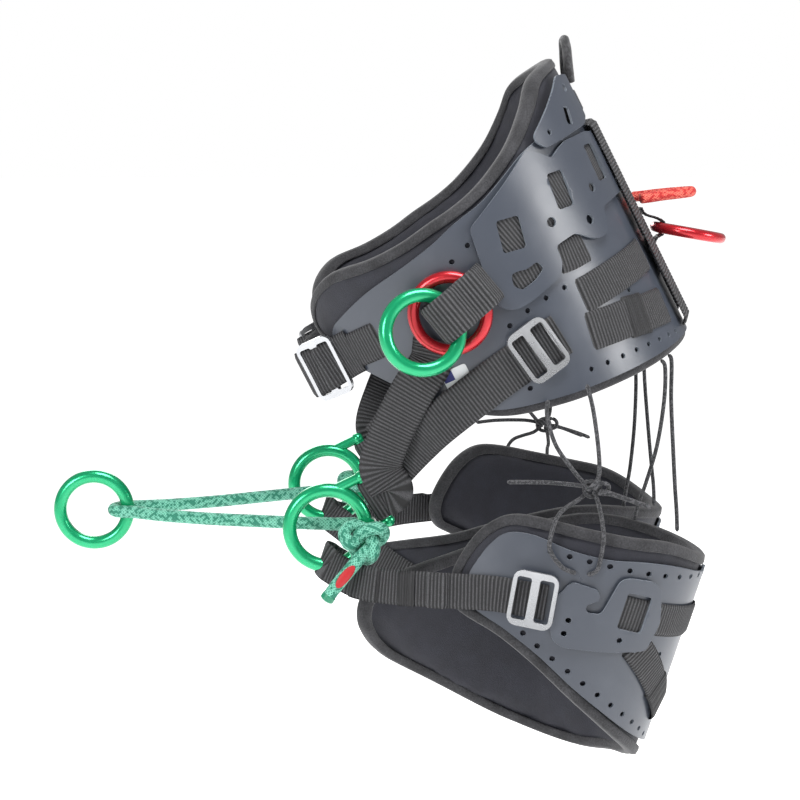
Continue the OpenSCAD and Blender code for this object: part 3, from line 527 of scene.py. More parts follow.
def inside(points, loops):
    """Whether each point is inside an odd number of the loops, by the edges crossed on its right."""
    odd = np.zeros(len(points), bool)
    for loop in loops:
        a, b = loop, np.roll(loop, -1, axis=0)
        for first in range(0, len(points), 4000):
            x, y = points[first:first + 4000, :1], points[first:first + 4000, 1:]
            spans = (a[:, 1] > y) != (b[:, 1] > y)
            cross = a[:, 0] + (y - a[:, 1]) * (b[:, 0] - a[:, 0]) / np.where(b[:, 1] == a[:, 1], 1e-9, b[:, 1] - a[:, 1])
            odd[first:first + 4000] ^= (spans & (x < cross)).sum(1) % 2 == 1
    return odd


def cut_sheet(name, loops, grid, place):
    """A sheet cut to its first loop, with the other loops cut out. The loops and a grid of points between
    them are joined by triangles, and place(around, up) bends the flat sheet on to its wall."""
    low, high = loops[0].min(0), loops[0].max(0)
    x, y = np.meshgrid(np.arange(low[0], high[0], grid), np.arange(low[1], high[1], grid))
    x = x + (np.arange(x.shape[0]) % 2)[:, None] * grid / 2
    spots = np.column_stack([x.ravel(), y.ravel()])
    spots = spots[inside(spots, loops)]
    rim = np.vstack(loops)
    near = np.concatenate([np.min(np.hypot(part[:, :1] - rim[:, 0], part[:, 1:] - rim[:, 1]), axis=1)
                           for part in np.array_split(spots, len(spots) // 2000 + 1)])
    flat = np.vstack([rim, spots[near > 0.6 * grid]])
    edges, first = [], 0
    for loop in loops:
        edges += [(first + i, first + (i + 1) % len(loop)) for i in range(len(loop))]
        first += len(loop)
    verts, _, faces, *_ = delaunay_2d_cdt([Vector(p) for p in flat.tolist()], edges, [], 1, 1e-4, False)
    flat = np.array([tuple(v) for v in verts])
    faces = np.array(faces)
    faces = faces[inside(flat[faces].mean(1), loops)]
    mesh = bpy.data.meshes.new(name)
    mesh.from_pydata(place(flat[:, 0], flat[:, 1]).tolist(), [], faces.tolist())
    layer = mesh.uv_layers.new(name="UVMap")
    layer.data.foreach_set("uv", (flat[faces.ravel()] / 1000).astype(np.float32).ravel())
    mesh.shade_smooth()
    piece = bpy.data.objects.new(name, mesh)
    bpy.context.scene.collection.objects.link(piece)
    return piece


def face_away(piece, depth_of):
    """Turns an open sheet over if its faces look at the wearer: their normals point to smaller depth."""
    mesh = piece.data
    centre, normal = np.empty(len(mesh.polygons) * 3), np.empty(len(mesh.polygons) * 3)
    mesh.polygons.foreach_get("center", centre)
    mesh.polygons.foreach_get("normal", normal)
    centre, normal = centre.reshape(-1, 3), normal.reshape(-1, 3)
    if np.mean(depth_of(centre + normal * 0.001)[1] - depth_of(centre)[1]) < 0:
        mesh.flip_normals()


def keep_result(piece):
    """Applies a piece's modifiers, so that their result is its mesh."""
    shape = bpy.data.meshes.new_from_object(piece.evaluated_get(bpy.context.evaluated_depsgraph_get()))
    piece.modifiers.clear()
    piece.data = shape
    return piece


def swell(piece, depth_of, most, low, high, voxel=0.005):
    """Foam in a sewn cover: the flat solid is rebuilt in even cells, filled by a cloth simulation under
    pressure with no gravity, and held to a greatest move and between two depths of the wall."""
    remesh = piece.modifiers.new("cells", "REMESH")
    remesh.mode, remesh.voxel_size, remesh.use_smooth_shade = "VOXEL", voxel, True
    keep_result(piece)
    count = len(piece.data.vertices)
    start = np.empty(count * 3)
    piece.data.vertices.foreach_get("co", start)
    start = start.reshape(-1, 3)
    end = start
    cloth = piece.modifiers.new("fill", "CLOTH")
    cloth.settings.quality = 5
    cloth.settings.tension_stiffness = cloth.settings.compression_stiffness = 25
    cloth.settings.bending_stiffness = 1.5
    cloth.settings.use_pressure, cloth.settings.uniform_pressure_force = True, 4.0
    cloth.settings.effector_weights.gravity = 0.0
    cloth.point_cache.frame_end = 20
    for moment in range(1, 21):
        bpy.context.scene.frame_set(moment)
    keep_result(piece)
    bpy.context.scene.frame_set(1)
    end = np.empty(count * 3)
    piece.data.vertices.foreach_get("co", end)
    end = end.reshape(-1, 3)
    move = end - start
    far = np.linalg.norm(move, axis=1, keepdims=True)
    held = start + move * np.minimum(1, most / np.maximum(far, 1e-9))
    own, depth = depth_of(held)
    shift = np.clip(depth, low, high) - depth
    piece.data.vertices.foreach_set("co", (held + out_of_wall(depth_of, held) * shift[:, None] / 1000).ravel())
    smooth = piece.modifiers.new("even", "CORRECTIVE_SMOOTH")
    smooth.iterations, smooth.use_only_smooth = 6, True
    fine = piece.modifiers.new("fine", "SUBSURF")
    fine.levels = fine.render_levels = 1
    keep_result(piece).data.shade_smooth()


def out_of_wall(depth_of, points):
    """The direction in which the depth grows fastest, by small steps along each axis."""
    step = 1e-4
    return unit(np.stack([depth_of(points + step * np.eye(3)[k])[1] - depth_of(points)[1] for k in range(3)], -1))


# Fabric: fine knit loops and soft mottling, in two colours.
knit, entry, leave = shared_effect("knit", [
    ("Dark", "NodeSocketColor", (0.01, 0.01, 0.02, 1)), ("Light", "NodeSocketColor", (0.05, 0.05, 0.06, 1)),
    ("Scale", "NodeSocketFloat", 900.0), ("Mottle", "NodeSocketFloat", 60.0), ("Amount", "NodeSocketFloat", 0.5)],
    [("Colour", "NodeSocketColor"), ("Height", "NodeSocketFloat")])
knit_place = node(knit, "TexCoord").outputs["Object"]
loops_seen = node(knit, "TexVoronoi", Vector=knit_place)
loops_seen.feature = "SMOOTH_F1"
patches = node(knit, "TexNoise", Vector=knit_place, Detail=6.0)
fuzz = node(knit, "TexNoise", Vector=knit_place, Detail=2.0)
knit.links.new(entry.outputs["Scale"], loops_seen.inputs["Scale"])
knit.links.new(entry.outputs["Scale"], fuzz.inputs["Scale"])
knit.links.new(entry.outputs["Mottle"], patches.inputs["Scale"])
both = node(knit, "Math", "MULTIPLY", i0=patches.outputs["Fac"], i1=fuzz.outputs["Fac"])
spread = node(knit, "MapRange", Value=both.outputs[0])
spread.inputs["From Min"].default_value, spread.inputs["From Max"].default_value = 0.12, 0.42
share = node(knit, "Math", "MULTIPLY", i0=spread.outputs["Result"], i1=entry.outputs["Amount"])
mixed = node(knit, "Mix")
mixed.data_type = "RGBA"
knit.links.new(share.outputs[0], mixed.inputs[0])
knit.links.new(entry.outputs["Dark"], mixed.inputs[6])
knit.links.new(entry.outputs["Light"], mixed.inputs[7])
knit.links.new(mixed.outputs[2], leave.inputs["Colour"])
knit.links.new(loops_seen.outputs["Distance"], leave.inputs["Height"])


def knitted(name, dark, light, roughness, scale, depth, amount=0.6, sheen=0.4):
    """A fabric of fine loops."""
    material = shader(name, dark, roughness, Sheen_Weight=sheen, Sheen_Roughness=0.5)
    tree = material.node_tree
    cover = use_effect(material, knit, Dark=(*dark, 1), Light=(*light, 1), Scale=scale, Amount=amount)
    tree.links.new(cover.outputs["Colour"], tree.nodes["Principled BSDF"].inputs["Base Color"])
    raise_surface(material, cover.outputs["Height"], 0.7, depth)
    return material


pad_fabric = knitted("pad_fabric", (0.0055, 0.006, 0.012), (0.018, 0.019, 0.032), 0.7, 1100.0, 0.0003, 0.6, 0.12)
waist_top = smooth_route([[146, 146], [120, 140], [103, 124], [79, 105], [59, 94], [35, 84], [10, 78], [-15, 75],
                          [-40, 71], [-71, 70], [-103, 73], [-121, 66], [-130, 56]], 1.0)
waist_front = smooth_route([[-130, 56], [-134, 42], [-133, 26], [-121, 6]], 1.0)
waist_low = smooth_route([[-105, -15], [-95, -31], [-77, -57], [-32, -89], [15, -102], [49, -108], [96, -114],
                          [146, -118]], 1.0)
waist_line = both_sides(side_to_wall(np.vstack([waist_top, waist_front, waist_low]), 146))


def foam_pad(name, outline, place, depth_of, thick, node_name, body, low, high):
    """A pad cut to an outline that ends inside the binding, then filled."""
    inner = soft_loop(outline, 3.0, 5.0)
    piece = cut_sheet(name, [inner], 6.0, lambda a, u: place(a, u, thick / 2))
    face_away(piece, depth_of)
    solid = piece.modifiers.new("thickness", "SOLIDIFY")
    solid.thickness, solid.offset = (thick - 1.6) / 1000, 0
    keep_result(piece)
    swell(piece, depth_of, 0.004, low, high)
    piece.data.materials.clear()
    piece.data.materials.append(pad_fabric)
    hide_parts(node_name)
    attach(piece, body)
    return piece


foam_pad("waist_pad_sewn", waist_line, belt_point, belt_depth, 12.0, "waist_pad", "saddle", -2.2, 12.7)

# ---------------------------------------------------------------- waist binding
# A felted tape folded over the pad's raw edge all the way round and sewn down on both faces.
binding_felt = knitted("binding_felt", (0.009, 0.009, 0.011), (0.050, 0.050, 0.056), 0.85, 700.0, 0.0005, 0.8, 0.15)


def tape_profile(width, inner, outer, wall):
    """The section of a folded tape as places inwards from the edge and depths: out along one face, round
    the edge on half a circle, back along the other face, and the same way back inside it."""
    half, middle = (outer - inner) / 2, (outer + inner) / 2
    turn = np.linspace(-np.pi / 2, np.pi / 2, 9)
    round_edge = np.column_stack([half * 0.5 * (1 - np.cos(turn)), middle + half * np.sin(turn)])
    hollow = np.column_stack([wall + (half - wall) * 0.5 * (1 - np.cos(turn)), middle + (half - wall) * np.sin(turn)])
    low_leg = np.column_stack([np.linspace(width, half * 0.7, 5), inner - 0.35 * np.sin(np.linspace(0, np.pi, 5))])
    high_leg = np.column_stack([np.linspace(half * 0.7, width, 5), outer + 0.35 * np.sin(np.linspace(0, np.pi, 5))])
    back = np.array([[width, outer - wall], [half, outer - wall]])
    front = np.array([[half, inner + wall], [width, inner + wall]])
    return np.vstack([low_leg, round_edge[1:-1], high_leg, back, hollow[::-1][1:-1], front])


def carry_round(name, line, profile, place):
    """Carries a section of places inwards and depths round a closed line on a wall."""
    ahead = unit(np.roll(line, -1, axis=0) - np.roll(line, 1, axis=0))
    area = np.sum(line[:, 0] * np.roll(line[:, 1], -1) - line[:, 1] * np.roll(line[:, 0], -1))
    inwards = np.column_stack([-ahead[:, 1], ahead[:, 0]]) * np.sign(area)
    around = line[:, None, 0] + inwards[:, None, 0] * profile[None, :, 0]
    up = line[:, None, 1] + inwards[:, None, 1] * profile[None, :, 0]
    points = place(around, up, np.broadcast_to(profile[None, :, 1], around.shape))
    run = np.r_[0, np.cumsum(np.linalg.norm(np.roll(line, -1, axis=0) - line, axis=1))] / 1000
    girth = np.linspace(0, 0.04, len(profile) + 1)
    points = np.concatenate([points, points[:1]])
    piece = lay_grid(name, points, run, girth, around=True)
    work = bmesh.new()
    work.from_mesh(piece.data)
    bmesh.ops.remove_doubles(work, verts=work.verts, dist=1e-6)
    bmesh.ops.recalc_face_normals(work, faces=work.faces)
    work.to_mesh(piece.data)
    work.free()
    return piece


def stitch_row(name, line, place, depth, length, gap, girth, material, body, closed=True):
    """A row of stitches along a line on a wall: each is a short six-sided thread whose ends dip in."""
    p = np.vstack([line, line[:1]]) if closed else line
    run = run_of(p)
    starts = np.arange(0, run[-1] - length, length + gap)
    t = np.linspace(0, 1, 5)
    at = starts[:, None] + t * length
    around, up = (np.interp(at, run, p[:, k]) for k in (0, 1))
    route = place(around, up, depth + 0.3 - 1.1 * np.abs(2 * t - 1) ** 3)
    above = place(around, up, np.full(at.shape, depth + 2.0)) - route
    ahead = unit(np.gradient(route, axis=1))
    out = unit(above - ahead * np.sum(above * ahead, -1, keepdims=True))
    side = np.cross(ahead, out)
    a = np.arange(6) * np.pi / 3
    ring = route[:, :, None] + girth / 2000 * (np.cos(a)[:, None] * side[:, :, None] + np.sin(a)[:, None] * out[:, :, None])
    count = len(starts)
    base = (np.arange(count) * 30)[:, None]
    i, j = np.meshgrid(np.arange(4), np.arange(6), indexing="ij")
    i, j = i.ravel(), j.ravel()
    quads = np.column_stack([i * 6 + j, i * 6 + (j + 1) % 6, (i + 1) * 6 + (j + 1) % 6, (i + 1) * 6 + j])
    sides = (base[:, :, None] + quads[None]).reshape(-1, 4).tolist()
    caps = (base + np.arange(6)[None, ::-1]).tolist() + (base + 24 + np.arange(6)[None]).tolist()
    mesh = bpy.data.meshes.new(name)
    mesh.from_pydata(ring.reshape(-1, 3).tolist(), [], sides + caps)
    mesh.shade_smooth()
    piece = bpy.data.objects.new(name, mesh)
    bpy.context.scene.collection.objects.link(piece)
    turn_outwards(piece)
    mesh.materials.append(material)
    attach(piece, body)
    return piece


def bind_edge(name, outline, place, inner, outer, node_name, body, width=8.5):
    """The folded tape that runs round a pad's edge."""
    line = soft_loop(outline, 2.5, 6.0)
    piece = carry_round(name, line, tape_profile(width, inner, outer, 0.9), place)
    piece.data.materials.append(binding_felt)
    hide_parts(node_name)
    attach(piece, body)


bind_edge("waist_binding_sewn", waist_line, belt_point, -0.8, 12.9, "waist_binding", "saddle")

# ---------------------------------------------------------------- back shell
# One sheet of stiff slate-grey plastic, cut with slots, bent hot round the pad and sewn to it. Its cut
# edges are painted a paler grey than its faces as a painted highlight, and it is raised where webbing runs under it.
slate = weathered("slate_sheet", (0.050, 0.058, 0.076), (0.085, 0.096, 0.12), 0.33, 0.35, 26.0, 0.00012,
                  Specular_IOR_Level=0.6)
# The rim of the slate sheets is painted much paler than their faces: a painted highlight along the cut edges.
pale_rim_painted_highlight = weathered("slate_rim_painted_highlight", (0.16, 0.18, 0.21), (0.30, 0.33, 0.37), 0.42, 0.4, 90.0, 0.0001)


def round_hole(around, up, radius):
    """A circle of sixteen points on the flat sheet."""
    a = np.linspace(0, 2 * np.pi, 16, endpoint=False)
    return np.column_stack([around + radius * np.cos(a), up + radius * np.sin(a)])


def slot_hole(around, up, width, height, turn=0.0, corner=2.5):
    """A rectangle with rounded corners, turned on the flat sheet."""
    a = np.radians(np.repeat([0, 90, 180, 270], 5) + np.tile(np.linspace(0, 90, 5), 4))
    cx = np.repeat([1, -1, -1, 1], 5) * (width / 2 - corner)
    cy = np.repeat([1, 1, -1, -1], 5) * (height / 2 - corner)
    x, y = cx + corner * np.cos(a), cy + corner * np.sin(a)
    c, s = math.cos(math.radians(turn)), math.sin(math.radians(turn))
    return np.column_stack([around + x * c - y * s, up + x * s + y * c])


def finish_sheet(piece, thickness, slot, body, *node_names, faces=None, edges=None, depth_of=belt_depth, rim=0.4):
    """Gives a cut sheet its thickness, rounds its cut edges, and sets its finish and its body. Its rim takes the edges
    finish, which by default is the slate rim painted paler as a painted highlight.
    """
    face_away(piece, depth_of)
    solid = piece.modifiers.new("thickness", "SOLIDIFY")
    solid.thickness, solid.offset = thickness / 1000, 0
    solid.material_offset_rim = 1
    edge = piece.modifiers.new("cut edge", "BEVEL")
    edge.width, edge.segments, edge.limit_method = rim / 1000, 2, "ANGLE"
    edge.angle_limit, edge.harden_normals = math.radians(50), True
    piece.data.materials.append(faces or slate)
    piece.data.materials.append(edges or pale_rim_painted_highlight)
    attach(piece, body)
    if node_names:
        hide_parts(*node_names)
    return piece


def bump_at(around, up, place_a, place_u, reach_a, reach_u, height):
    """A smooth rise round one place: the height times a bell curve of the distance from it."""
    return height * np.exp(-((around - place_a) / reach_a) ** 2 - ((up - place_u) / reach_u) ** 2)


def mirrored_places(places):
    """Places on the left of the belt and the same places on the right."""
    return [(a * BELT_MM, u, *rest) for a, u, *rest in places] + \
        [((180 - a) * BELT_MM, u, *(r if i != 3 else -r for i, r in enumerate(rest, 1))) for a, u, *rest in places]


shell_top = smooth_route([[149, 92], [134, 92], [105, 94], [80, 90], [55, 80], [31, 71], [5, 66], [-19, 59], [-49, 53],
                          [-78, 48], [-100, 41], [-118, 33]], 1.0)
shell_low = smooth_route([[-112, -10], [-95, -31], [-73, -56], [-31, -82], [16, -95], [50, -101], [96, -107],
                          [149, -112]], 1.0)
shell_half = side_to_wall(np.vstack([shell_top, [[-123, 26], [-124, 12], [-120, 2]], shell_low]), 149)
shell_loop = soft_loop(both_sides(shell_half), 1.8, 3.0)
row_of_holes = [(a, -88 - (a - 20) * 0.35) for a in range(20, 63, 6)]
gear_holes = row_of_holes + [(2.5, 46), (-4, 40), (24, -20), (17, -20), (10, -22), (3, -26), (0, -78), (47, -50)]
shell_slots = [(33, 3, 22, 14, 0.0), (31, -62, 26, 22, 0.0), (55, -76, 16, 20, 0.0)]
shell_rises = [(47, -33, 22, 13, 1.6), (60, 10, 16, 18, 1.4), (55, -100, 20, 6, 1.0), (-30, 20, 18, 16, 1.2),
               (4, -70, 16, 10, 1.4), (72, 70, 20, 16, 1.0), (-20, -28, 12, 14, 0.8)]


def shell_place(around, up):
    """The shell's wall, 1.25 mm under its face, with its rises and a slow waviness from the hot bending."""
    depth = 14.4 + 0.25 * np.sin(around / 31) * np.cos(up / 23)
    for a, u, ra, ru, h in mirrored_places(shell_rises):
        depth = depth + bump_at(around, up, a, u, ra, ru, h * 0.5)
    return belt_point(around, up, depth)


shell_cuts = [round_hole(a, u, 2.2) for a, u in mirrored_places(gear_holes)]
shell_cuts += [slot_hole(a, u, w, h, t) for a, u, w, h, t in mirrored_places(shell_slots)]
back_shell = cut_sheet("back_shell_moulded", [shell_loop, *shell_cuts], 2.9, shell_place)
finish_sheet(back_shell, 2.4, "shell", "saddle", "back_shell")

# ---------------------------------------------------------------- overlay plates
# Two smaller plates of the same sheet on each side: a large one with windows on the hip and one at the
# top of the back. They lie over the webbing and hold it in place.
hip_corners = np.array([[5, 57], [3, 20], [2, -3], [3.5, -12], [7, -17], [12, -16.5], [24, -10], [26.5, 0], [26.7, 12.7],
                        [35, 14], [41, 2], [45, -1], [49, 2], [50, 9], [52, 20], [78, 22], [78, 50], [74, 74], [62, 80],
                        [49, 82], [44, 79], [40, 75], [35, 86], [32, 91], [20, 75]], float)
top_corners = np.array([[62, 131], [37.5, 98], [37, 92], [40, 84], [66, 84.5], [72, 90], [72, 128]], float)


def plate_place(around, up):
    """A plate's wall, over the webbing, with a slight waviness."""
    return belt_point(around, up, 19.4 + 0.2 * np.sin(around / 17 + 0.5) * np.cos(up / 19))


for side, way in (("left", 1), ("right", -1)):
    def side_loop(points, way=way):
        """A line on the left of the belt, moved to this side."""
        return np.column_stack([points[:, 0] if way > 0 else 180 * BELT_MM - points[:, 0], points[:, 1]])

    windows = [(15.5, 38, 19, 26, -12), (37.5, 50, 17, 30, -8), (60, 54, 16, 32, -4)]
    kidney = soft_loop(np.array([[10, 10], [12, 10], [15, 7.8], [19, 9.5], [20, 2], [16, -3], [11, -5], [9, 1]])
                       * [BELT_MM, 1], 1.5, 1.6)
    hip_loops = [soft_loop(hip_corners * [BELT_MM, 1], 1.6, 2.6)]
    hip_loops += [slot_hole(a * BELT_MM, u, w, h, t) for a, u, w, h, t in windows] + [kidney]
    hip_loops += [round_hole(a * BELT_MM, u, 4.0) for a, u in ((29, 31), (51, 38), (43, 17))]
    hip_loops += [round_hole(a * BELT_MM, u, 2.2) for a, u in ((70, 31), (70, 60))]
    top_loops = [soft_loop(top_corners * [BELT_MM, 1], 1.6, 2.2), slot_hole(57 * BELT_MM, 98, 8, 15, -20, 1.2),
                 round_hole(44 * BELT_MM, 94, 2.2), round_hole(64 * BELT_MM, 119, 3.5)]
    for kind, loops in (("hip_plate", hip_loops), ("top_plate", top_loops)):
        plate = cut_sheet(f"{kind}_cut_{side}", [side_loop(loop) for loop in loops], 2.8, plate_place)
        finish_sheet(plate, 2.1, "shell", "saddle", f"{kind}_{side}")

# ---------------------------------------------------------------- webbing on the back and the hips
# Ribbed polyester webbing, woven with a thick weft, so that it has ribs across its width. Bands of it
# are threaded through the slots of the shell and under the plates, and two stand upright on the back.
RIB = 0.0030
# The weft effect paints the light tone on the crests of ribs and threads and the dark tone in the grooves, a painted
# highlight and painted shade, flecked at random.
weft, entry, leave = shared_effect("weft", [
    ("Pitch", "NodeSocketFloat", 1 / RIB), ("Dark", "NodeSocketColor", (0.01, 0.01, 0.012, 1)),
    ("Light", "NodeSocketColor", (0.2, 0.2, 0.21, 1)), ("Threads", "NodeSocketFloat", 1400.0)],
    [("Colour", "NodeSocketColor"), ("Height", "NodeSocketFloat")])
cloth_place = node(weft, "SeparateXYZ", Vector=node(weft, "TexCoord").outputs["UV"])
rib_run = node(weft, "Math", "MULTIPLY", i0=cloth_place.outputs["X"], i1=entry.outputs["Pitch"])
rib_wave = node(weft, "Math", "COSINE", i0=node(weft, "Math", "MULTIPLY", i0=rib_run.outputs[0], i1=2 * math.pi).outputs[0])
rib = node(weft, "Math", "MULTIPLY_ADD", i0=rib_wave.outputs[0], i1=0.5, i2=0.5)
half_ribs = node(weft, "Math", "ROUND", i0=rib_run.outputs[0])
thread_run = node(weft, "Math", "MULTIPLY", i0=cloth_place.outputs["Y"], i1=entry.outputs["Threads"])
offset = node(weft, "Math", "MULTIPLY_ADD", i0=half_ribs.outputs[0], i1=0.5, i2=thread_run.outputs[0])
thread_turn = node(weft, "Math", "MULTIPLY", i0=offset.outputs[0], i1=2 * math.pi)
thread_wave = node(weft, "Math", "COSINE", i0=thread_turn.outputs[0])
thread = node(weft, "Math", "MULTIPLY_ADD", i0=thread_wave.outputs[0], i1=0.3, i2=0.7)
crest = node(weft, "Math", "MULTIPLY", i0=rib.outputs[0], i1=thread.outputs[0])
specks = node(weft, "TexNoise", Vector=node(weft, "TexCoord").outputs["Object"], Scale=1500.0, Detail=2.0)
# Painted highlight: crest height, flecked by noise, sets how far the colour goes to the light tone.
crest_highlight_painted = node(weft, "Math", "MULTIPLY", i0=crest.outputs[0], i1=specks.outputs["Fac"])
tone = node(weft, "MapRange", Value=crest_highlight_painted.outputs[0])
tone.inputs["From Min"].default_value, tone.inputs["From Max"].default_value = 0.10, 0.62
mixed = node(weft, "Mix")
mixed.data_type = "RGBA"
weft.links.new(tone.outputs["Result"], mixed.inputs[0])
weft.links.new(entry.outputs["Dark"], mixed.inputs[6])
weft.links.new(entry.outputs["Light"], mixed.inputs[7])
weft.links.new(mixed.outputs[2], leave.inputs["Colour"])
weft.links.new(crest.outputs[0], leave.inputs["Height"])


def woven(name, dark, light, pitch=RIB):
    """Ribbed webbing, dark in the grooves, with a lighter tone painted on the rib crests as painted highlight and
    shade.
    """
    material = shader(name, dark, 0.6, Sheen_Weight=0.06, Sheen_Roughness=0.4)
    tree = material.node_tree
    cover = use_effect(material, weft, Pitch=1 / pitch, Dark=(*dark, 1), Light=(*light, 1))
    tree.links.new(cover.outputs["Colour"], tree.nodes["Principled BSDF"].inputs["Base Color"])
    raise_surface(material, cover.outputs["Height"], 0.7, 0.0004)
    return material


charcoal = woven("charcoal_webbing", (0.0035, 0.0035, 0.0045), (0.12, 0.12, 0.13))
plain_black = woven("black_webbing", (0.004, 0.004, 0.005), (0.035, 0.035, 0.04), 0.0022)


def ribbon(name, route, faces, width, thickness, ribs=0.00022, pitch=RIB, step=0.0005):
    """Webbing along a route: a flat section with rounded edges, turned to the face directions, whose
    two faces rise and fall with the cosine of distance over the rib pitch."""
    route, faces = np.asarray(route, float), np.asarray(faces, float)
    smooth = smooth_route(np.hstack([route, faces * 0.02]), step)
    line, out = smooth[:, :3], unit(smooth[:, 3:])
    run = run_of(line)
    ahead = unit(np.gradient(line, axis=0))
    side = unit(np.cross(ahead, out))
    out = np.cross(side, ahead)
    half = np.linspace(-1, 1, 12)
    edge = np.sqrt(np.clip(1 - np.abs(half) ** 14, 0, 1))
    across = np.r_[half, half[::-1]] * width / 2
    lift = np.r_[edge, -edge[::-1]]
    shape = np.r_[edge, edge] * (1 - np.abs(np.r_[half, half[::-1]]) ** 8)
    wave = np.cos(2 * np.pi * run / pitch)[:, None] * ribs * shape[None] * np.sign(lift)[None]
    tall = lift[None] * thickness / 2 + wave
    points = line[:, None] + across[None, :, None] * side[:, None] + tall[..., None] * out[:, None]
    girth = np.r_[across, across[0]]
    return turn_outwards(lay_grid(name, points, run, girth, around=True, ends=True))


def webbing_piece(piece, body, *node_names, material=None, slot="webbing"):
    """Sets webbing's finish and body."""
    piece.data.materials.append(material or charcoal)
    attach(piece, body)
    if node_names:
        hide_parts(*node_names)
    return piece


def belt_band(name, middle, width, depth, body="saddle", *node_names, way=1, material=None, tuck=(True, True),
              thickness=0.0021):
    """A band on the belt's wall along places (degrees, height). A tucked end dips through its slot."""
    fine = smooth_route(np.array(middle, float) * [BELT_MM, 1], 2.0)
    run = run_of(fine)
    dip = np.zeros(len(fine))
    for at_end, far in zip(tuck, (run, run[-1] - run)):
        if at_end:
            dip += 4.5 * np.clip(1 - far / 5.0, 0, 1) ** 2
    place = belt_point(fine[:, 0], fine[:, 1], depth - dip)
    out = belt_point(fine[:, 0], fine[:, 1], depth - dip + 5) - place
    mirror = np.array([way, 1, 1])
    return webbing_piece(ribbon(name, place * mirror, unit(out) * mirror, width / 1000, thickness), body, *node_names,
                         material=material)


for side, way in (("left", 1), ("right", -1)):
    belt_band(f"hip_window_band_{side}", [(6.5, 30), (15.5, 37), (26, 43), (37.5, 49), (60, 53), (67, 54)], 34, 17.0,
              "saddle", f"side_webbing_{side}", way=way)
    belt_band(f"kidney_band_{side}", [(5.5, 0), (14, 3), (24, 4)], 19, 17.0, way=way)
    belt_band(f"waist_patch_{side}", [(25.5, 3), (31, 1), (38.4, 0.5)], 26, 16.9, way=way)
    belt_band(f"cross_band_{side}", [(27.5, -33), (34, -33.5), (52, -33.5), (66.5, -33)], 28.5, 17.1, way=way)
    belt_band(f"low_band_{side}", [(24.5, -61), (33, -65), (42, -69), (51, -74), (63.5, -79)], 31, 16.9, way=way)
    belt_band(f"low_band_cover_{side}", [(39.5, -67.5), (42, -69), (47, -72), (50, -73.6)], 34.5, 17.9, way=way,
              material=plain_black)
    belt_band(f"back_upright_{side}", [(75, 84), (75, 40), (75, -20), (75, -104)], 37, 21.8, way=way)
belt_band("back_cross_top", [(71, 66.5), (80, 66.5), (90, 66.5), (100, 66.5), (109, 66.5)], 34, 21.0, "saddle",
          "back_webbing", tuck=(False, False))
belt_band("back_cross_low", [(71, -46.5), (80, -46.5), (90, -46.5), (100, -46.5), (109, -46.5)], 34, 21.0,
          tuck=(False, False))
belt_band("top_loop_base", [(82.5, 103), (86, 103), (94, 103), (97.5, 103)], 20, 17.2)

# ---------------------------------------------------------------- front closure
# A wide strap crosses the front between two bright two-window buckles. Its ends turn round the
# buckles' bars, and a short stitched tab on the shell holds each buckle from the other side.
belt_band("front_strap_woven", [(-112, 4), (-104, 4), (-90, 4), (-76, 4), (-68, 4)], 42, 17.2, "saddle", "front_strap",
          tuck=(False, False))
bright = weathered("bright_aluminium", (0.50, 0.51, 0.53), (0.70, 0.71, 0.72), 0.28, 0.4, 60.0, 0.00015, Metallic=0.9)
white_thread = knitted("white_thread", (0.55, 0.55, 0.56), (0.8, 0.8, 0.8), 0.7, 2500.0, 0.0001)


def side_to_mm(places, way=1):
    """Places in degrees and heights on the left of the belt, as distances round it, moved to one side."""
    p = np.array(places, float) * [BELT_MM, 1]
    return p if way > 0 else np.column_stack([180 * BELT_MM - p[:, 0], p[:, 1]])


def buckle_at(name, outer, windows, to_wall, way, place, depth, node_name, body, turn=0.0):
    """A forged two-window frame: its flat outline is moved by to_wall on to the wall, cut out and given
    a thickness of 4 mm with well rounded edges. The bars stay flat, because the frame is small."""
    middle = np.array(to_wall(0.0, 0.0), float)
    origin = place(middle[0], middle[1], depth)
    along = unit(place(middle[0] + 1, middle[1], depth) - place(middle[0] - 1, middle[1], depth))
    turned = np.array(to_wall(1.0, 0.0), float) - middle
    out = unit(place(middle[0], middle[1], depth + 5) - origin)
    up = np.cross(out, along)
    c, s = math.cos(math.radians(turn)), math.sin(math.radians(turn))
    along, out = along * c - out * s, out * c + along * s
    along, up = along * turned[0] + up * turned[1], up * turned[0] - along * turned[1]

    def flat(a, u):
        """A place on the frame's own plane, bowed a little at its ends."""
        bow = (0.0000009 * u**2)[..., None] * out
        return (origin + (a[..., None] * along + u[..., None] * up) / 1000 + bow) * [way, 1, 1]

    piece = cut_sheet(name, [outer, *windows], 2.2, flat)
    mesh = piece.data
    normal = np.empty(len(mesh.polygons) * 3)
    mesh.polygons.foreach_get("normal", normal)
    if normal.reshape(-1, 3).mean(0).dot(out * [way, 1, 1]) < 0:
        mesh.flip_normals()
    solid = piece.modifiers.new("thickness", "SOLIDIFY")
    solid.thickness, solid.offset = 0.0039, 0
    edge = piece.modifiers.new("rounded", "BEVEL")
    edge.width, edge.segments, edge.limit_method, edge.angle_limit = 0.0013, 3, "ANGLE", math.radians(50)
    edge.harden_normals = True
    piece.data.materials.append(bright)
    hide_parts(node_name)
    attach(piece, body)


def wrap_bar(name, places, width, way):
    """Webbing folded round a buckle's bar, along places in degrees, height and lift off the wall."""
    p = np.array(places, float)
    route = belt_point(p[:, 0] * BELT_MM, p[:, 1], 17.6 + p[:, 2])
    ahead = unit(np.gradient(route, axis=0))
    up = belt_point(p[:, 0] * BELT_MM, p[:, 1] + 5, 17.6 + p[:, 2]) - route
    mirror = np.array([way, 1, 1])
    webbing_piece(ribbon(name, route * mirror, unit(np.cross(up, ahead)) * -1 * mirror, width / 1000, 0.0019), "saddle")


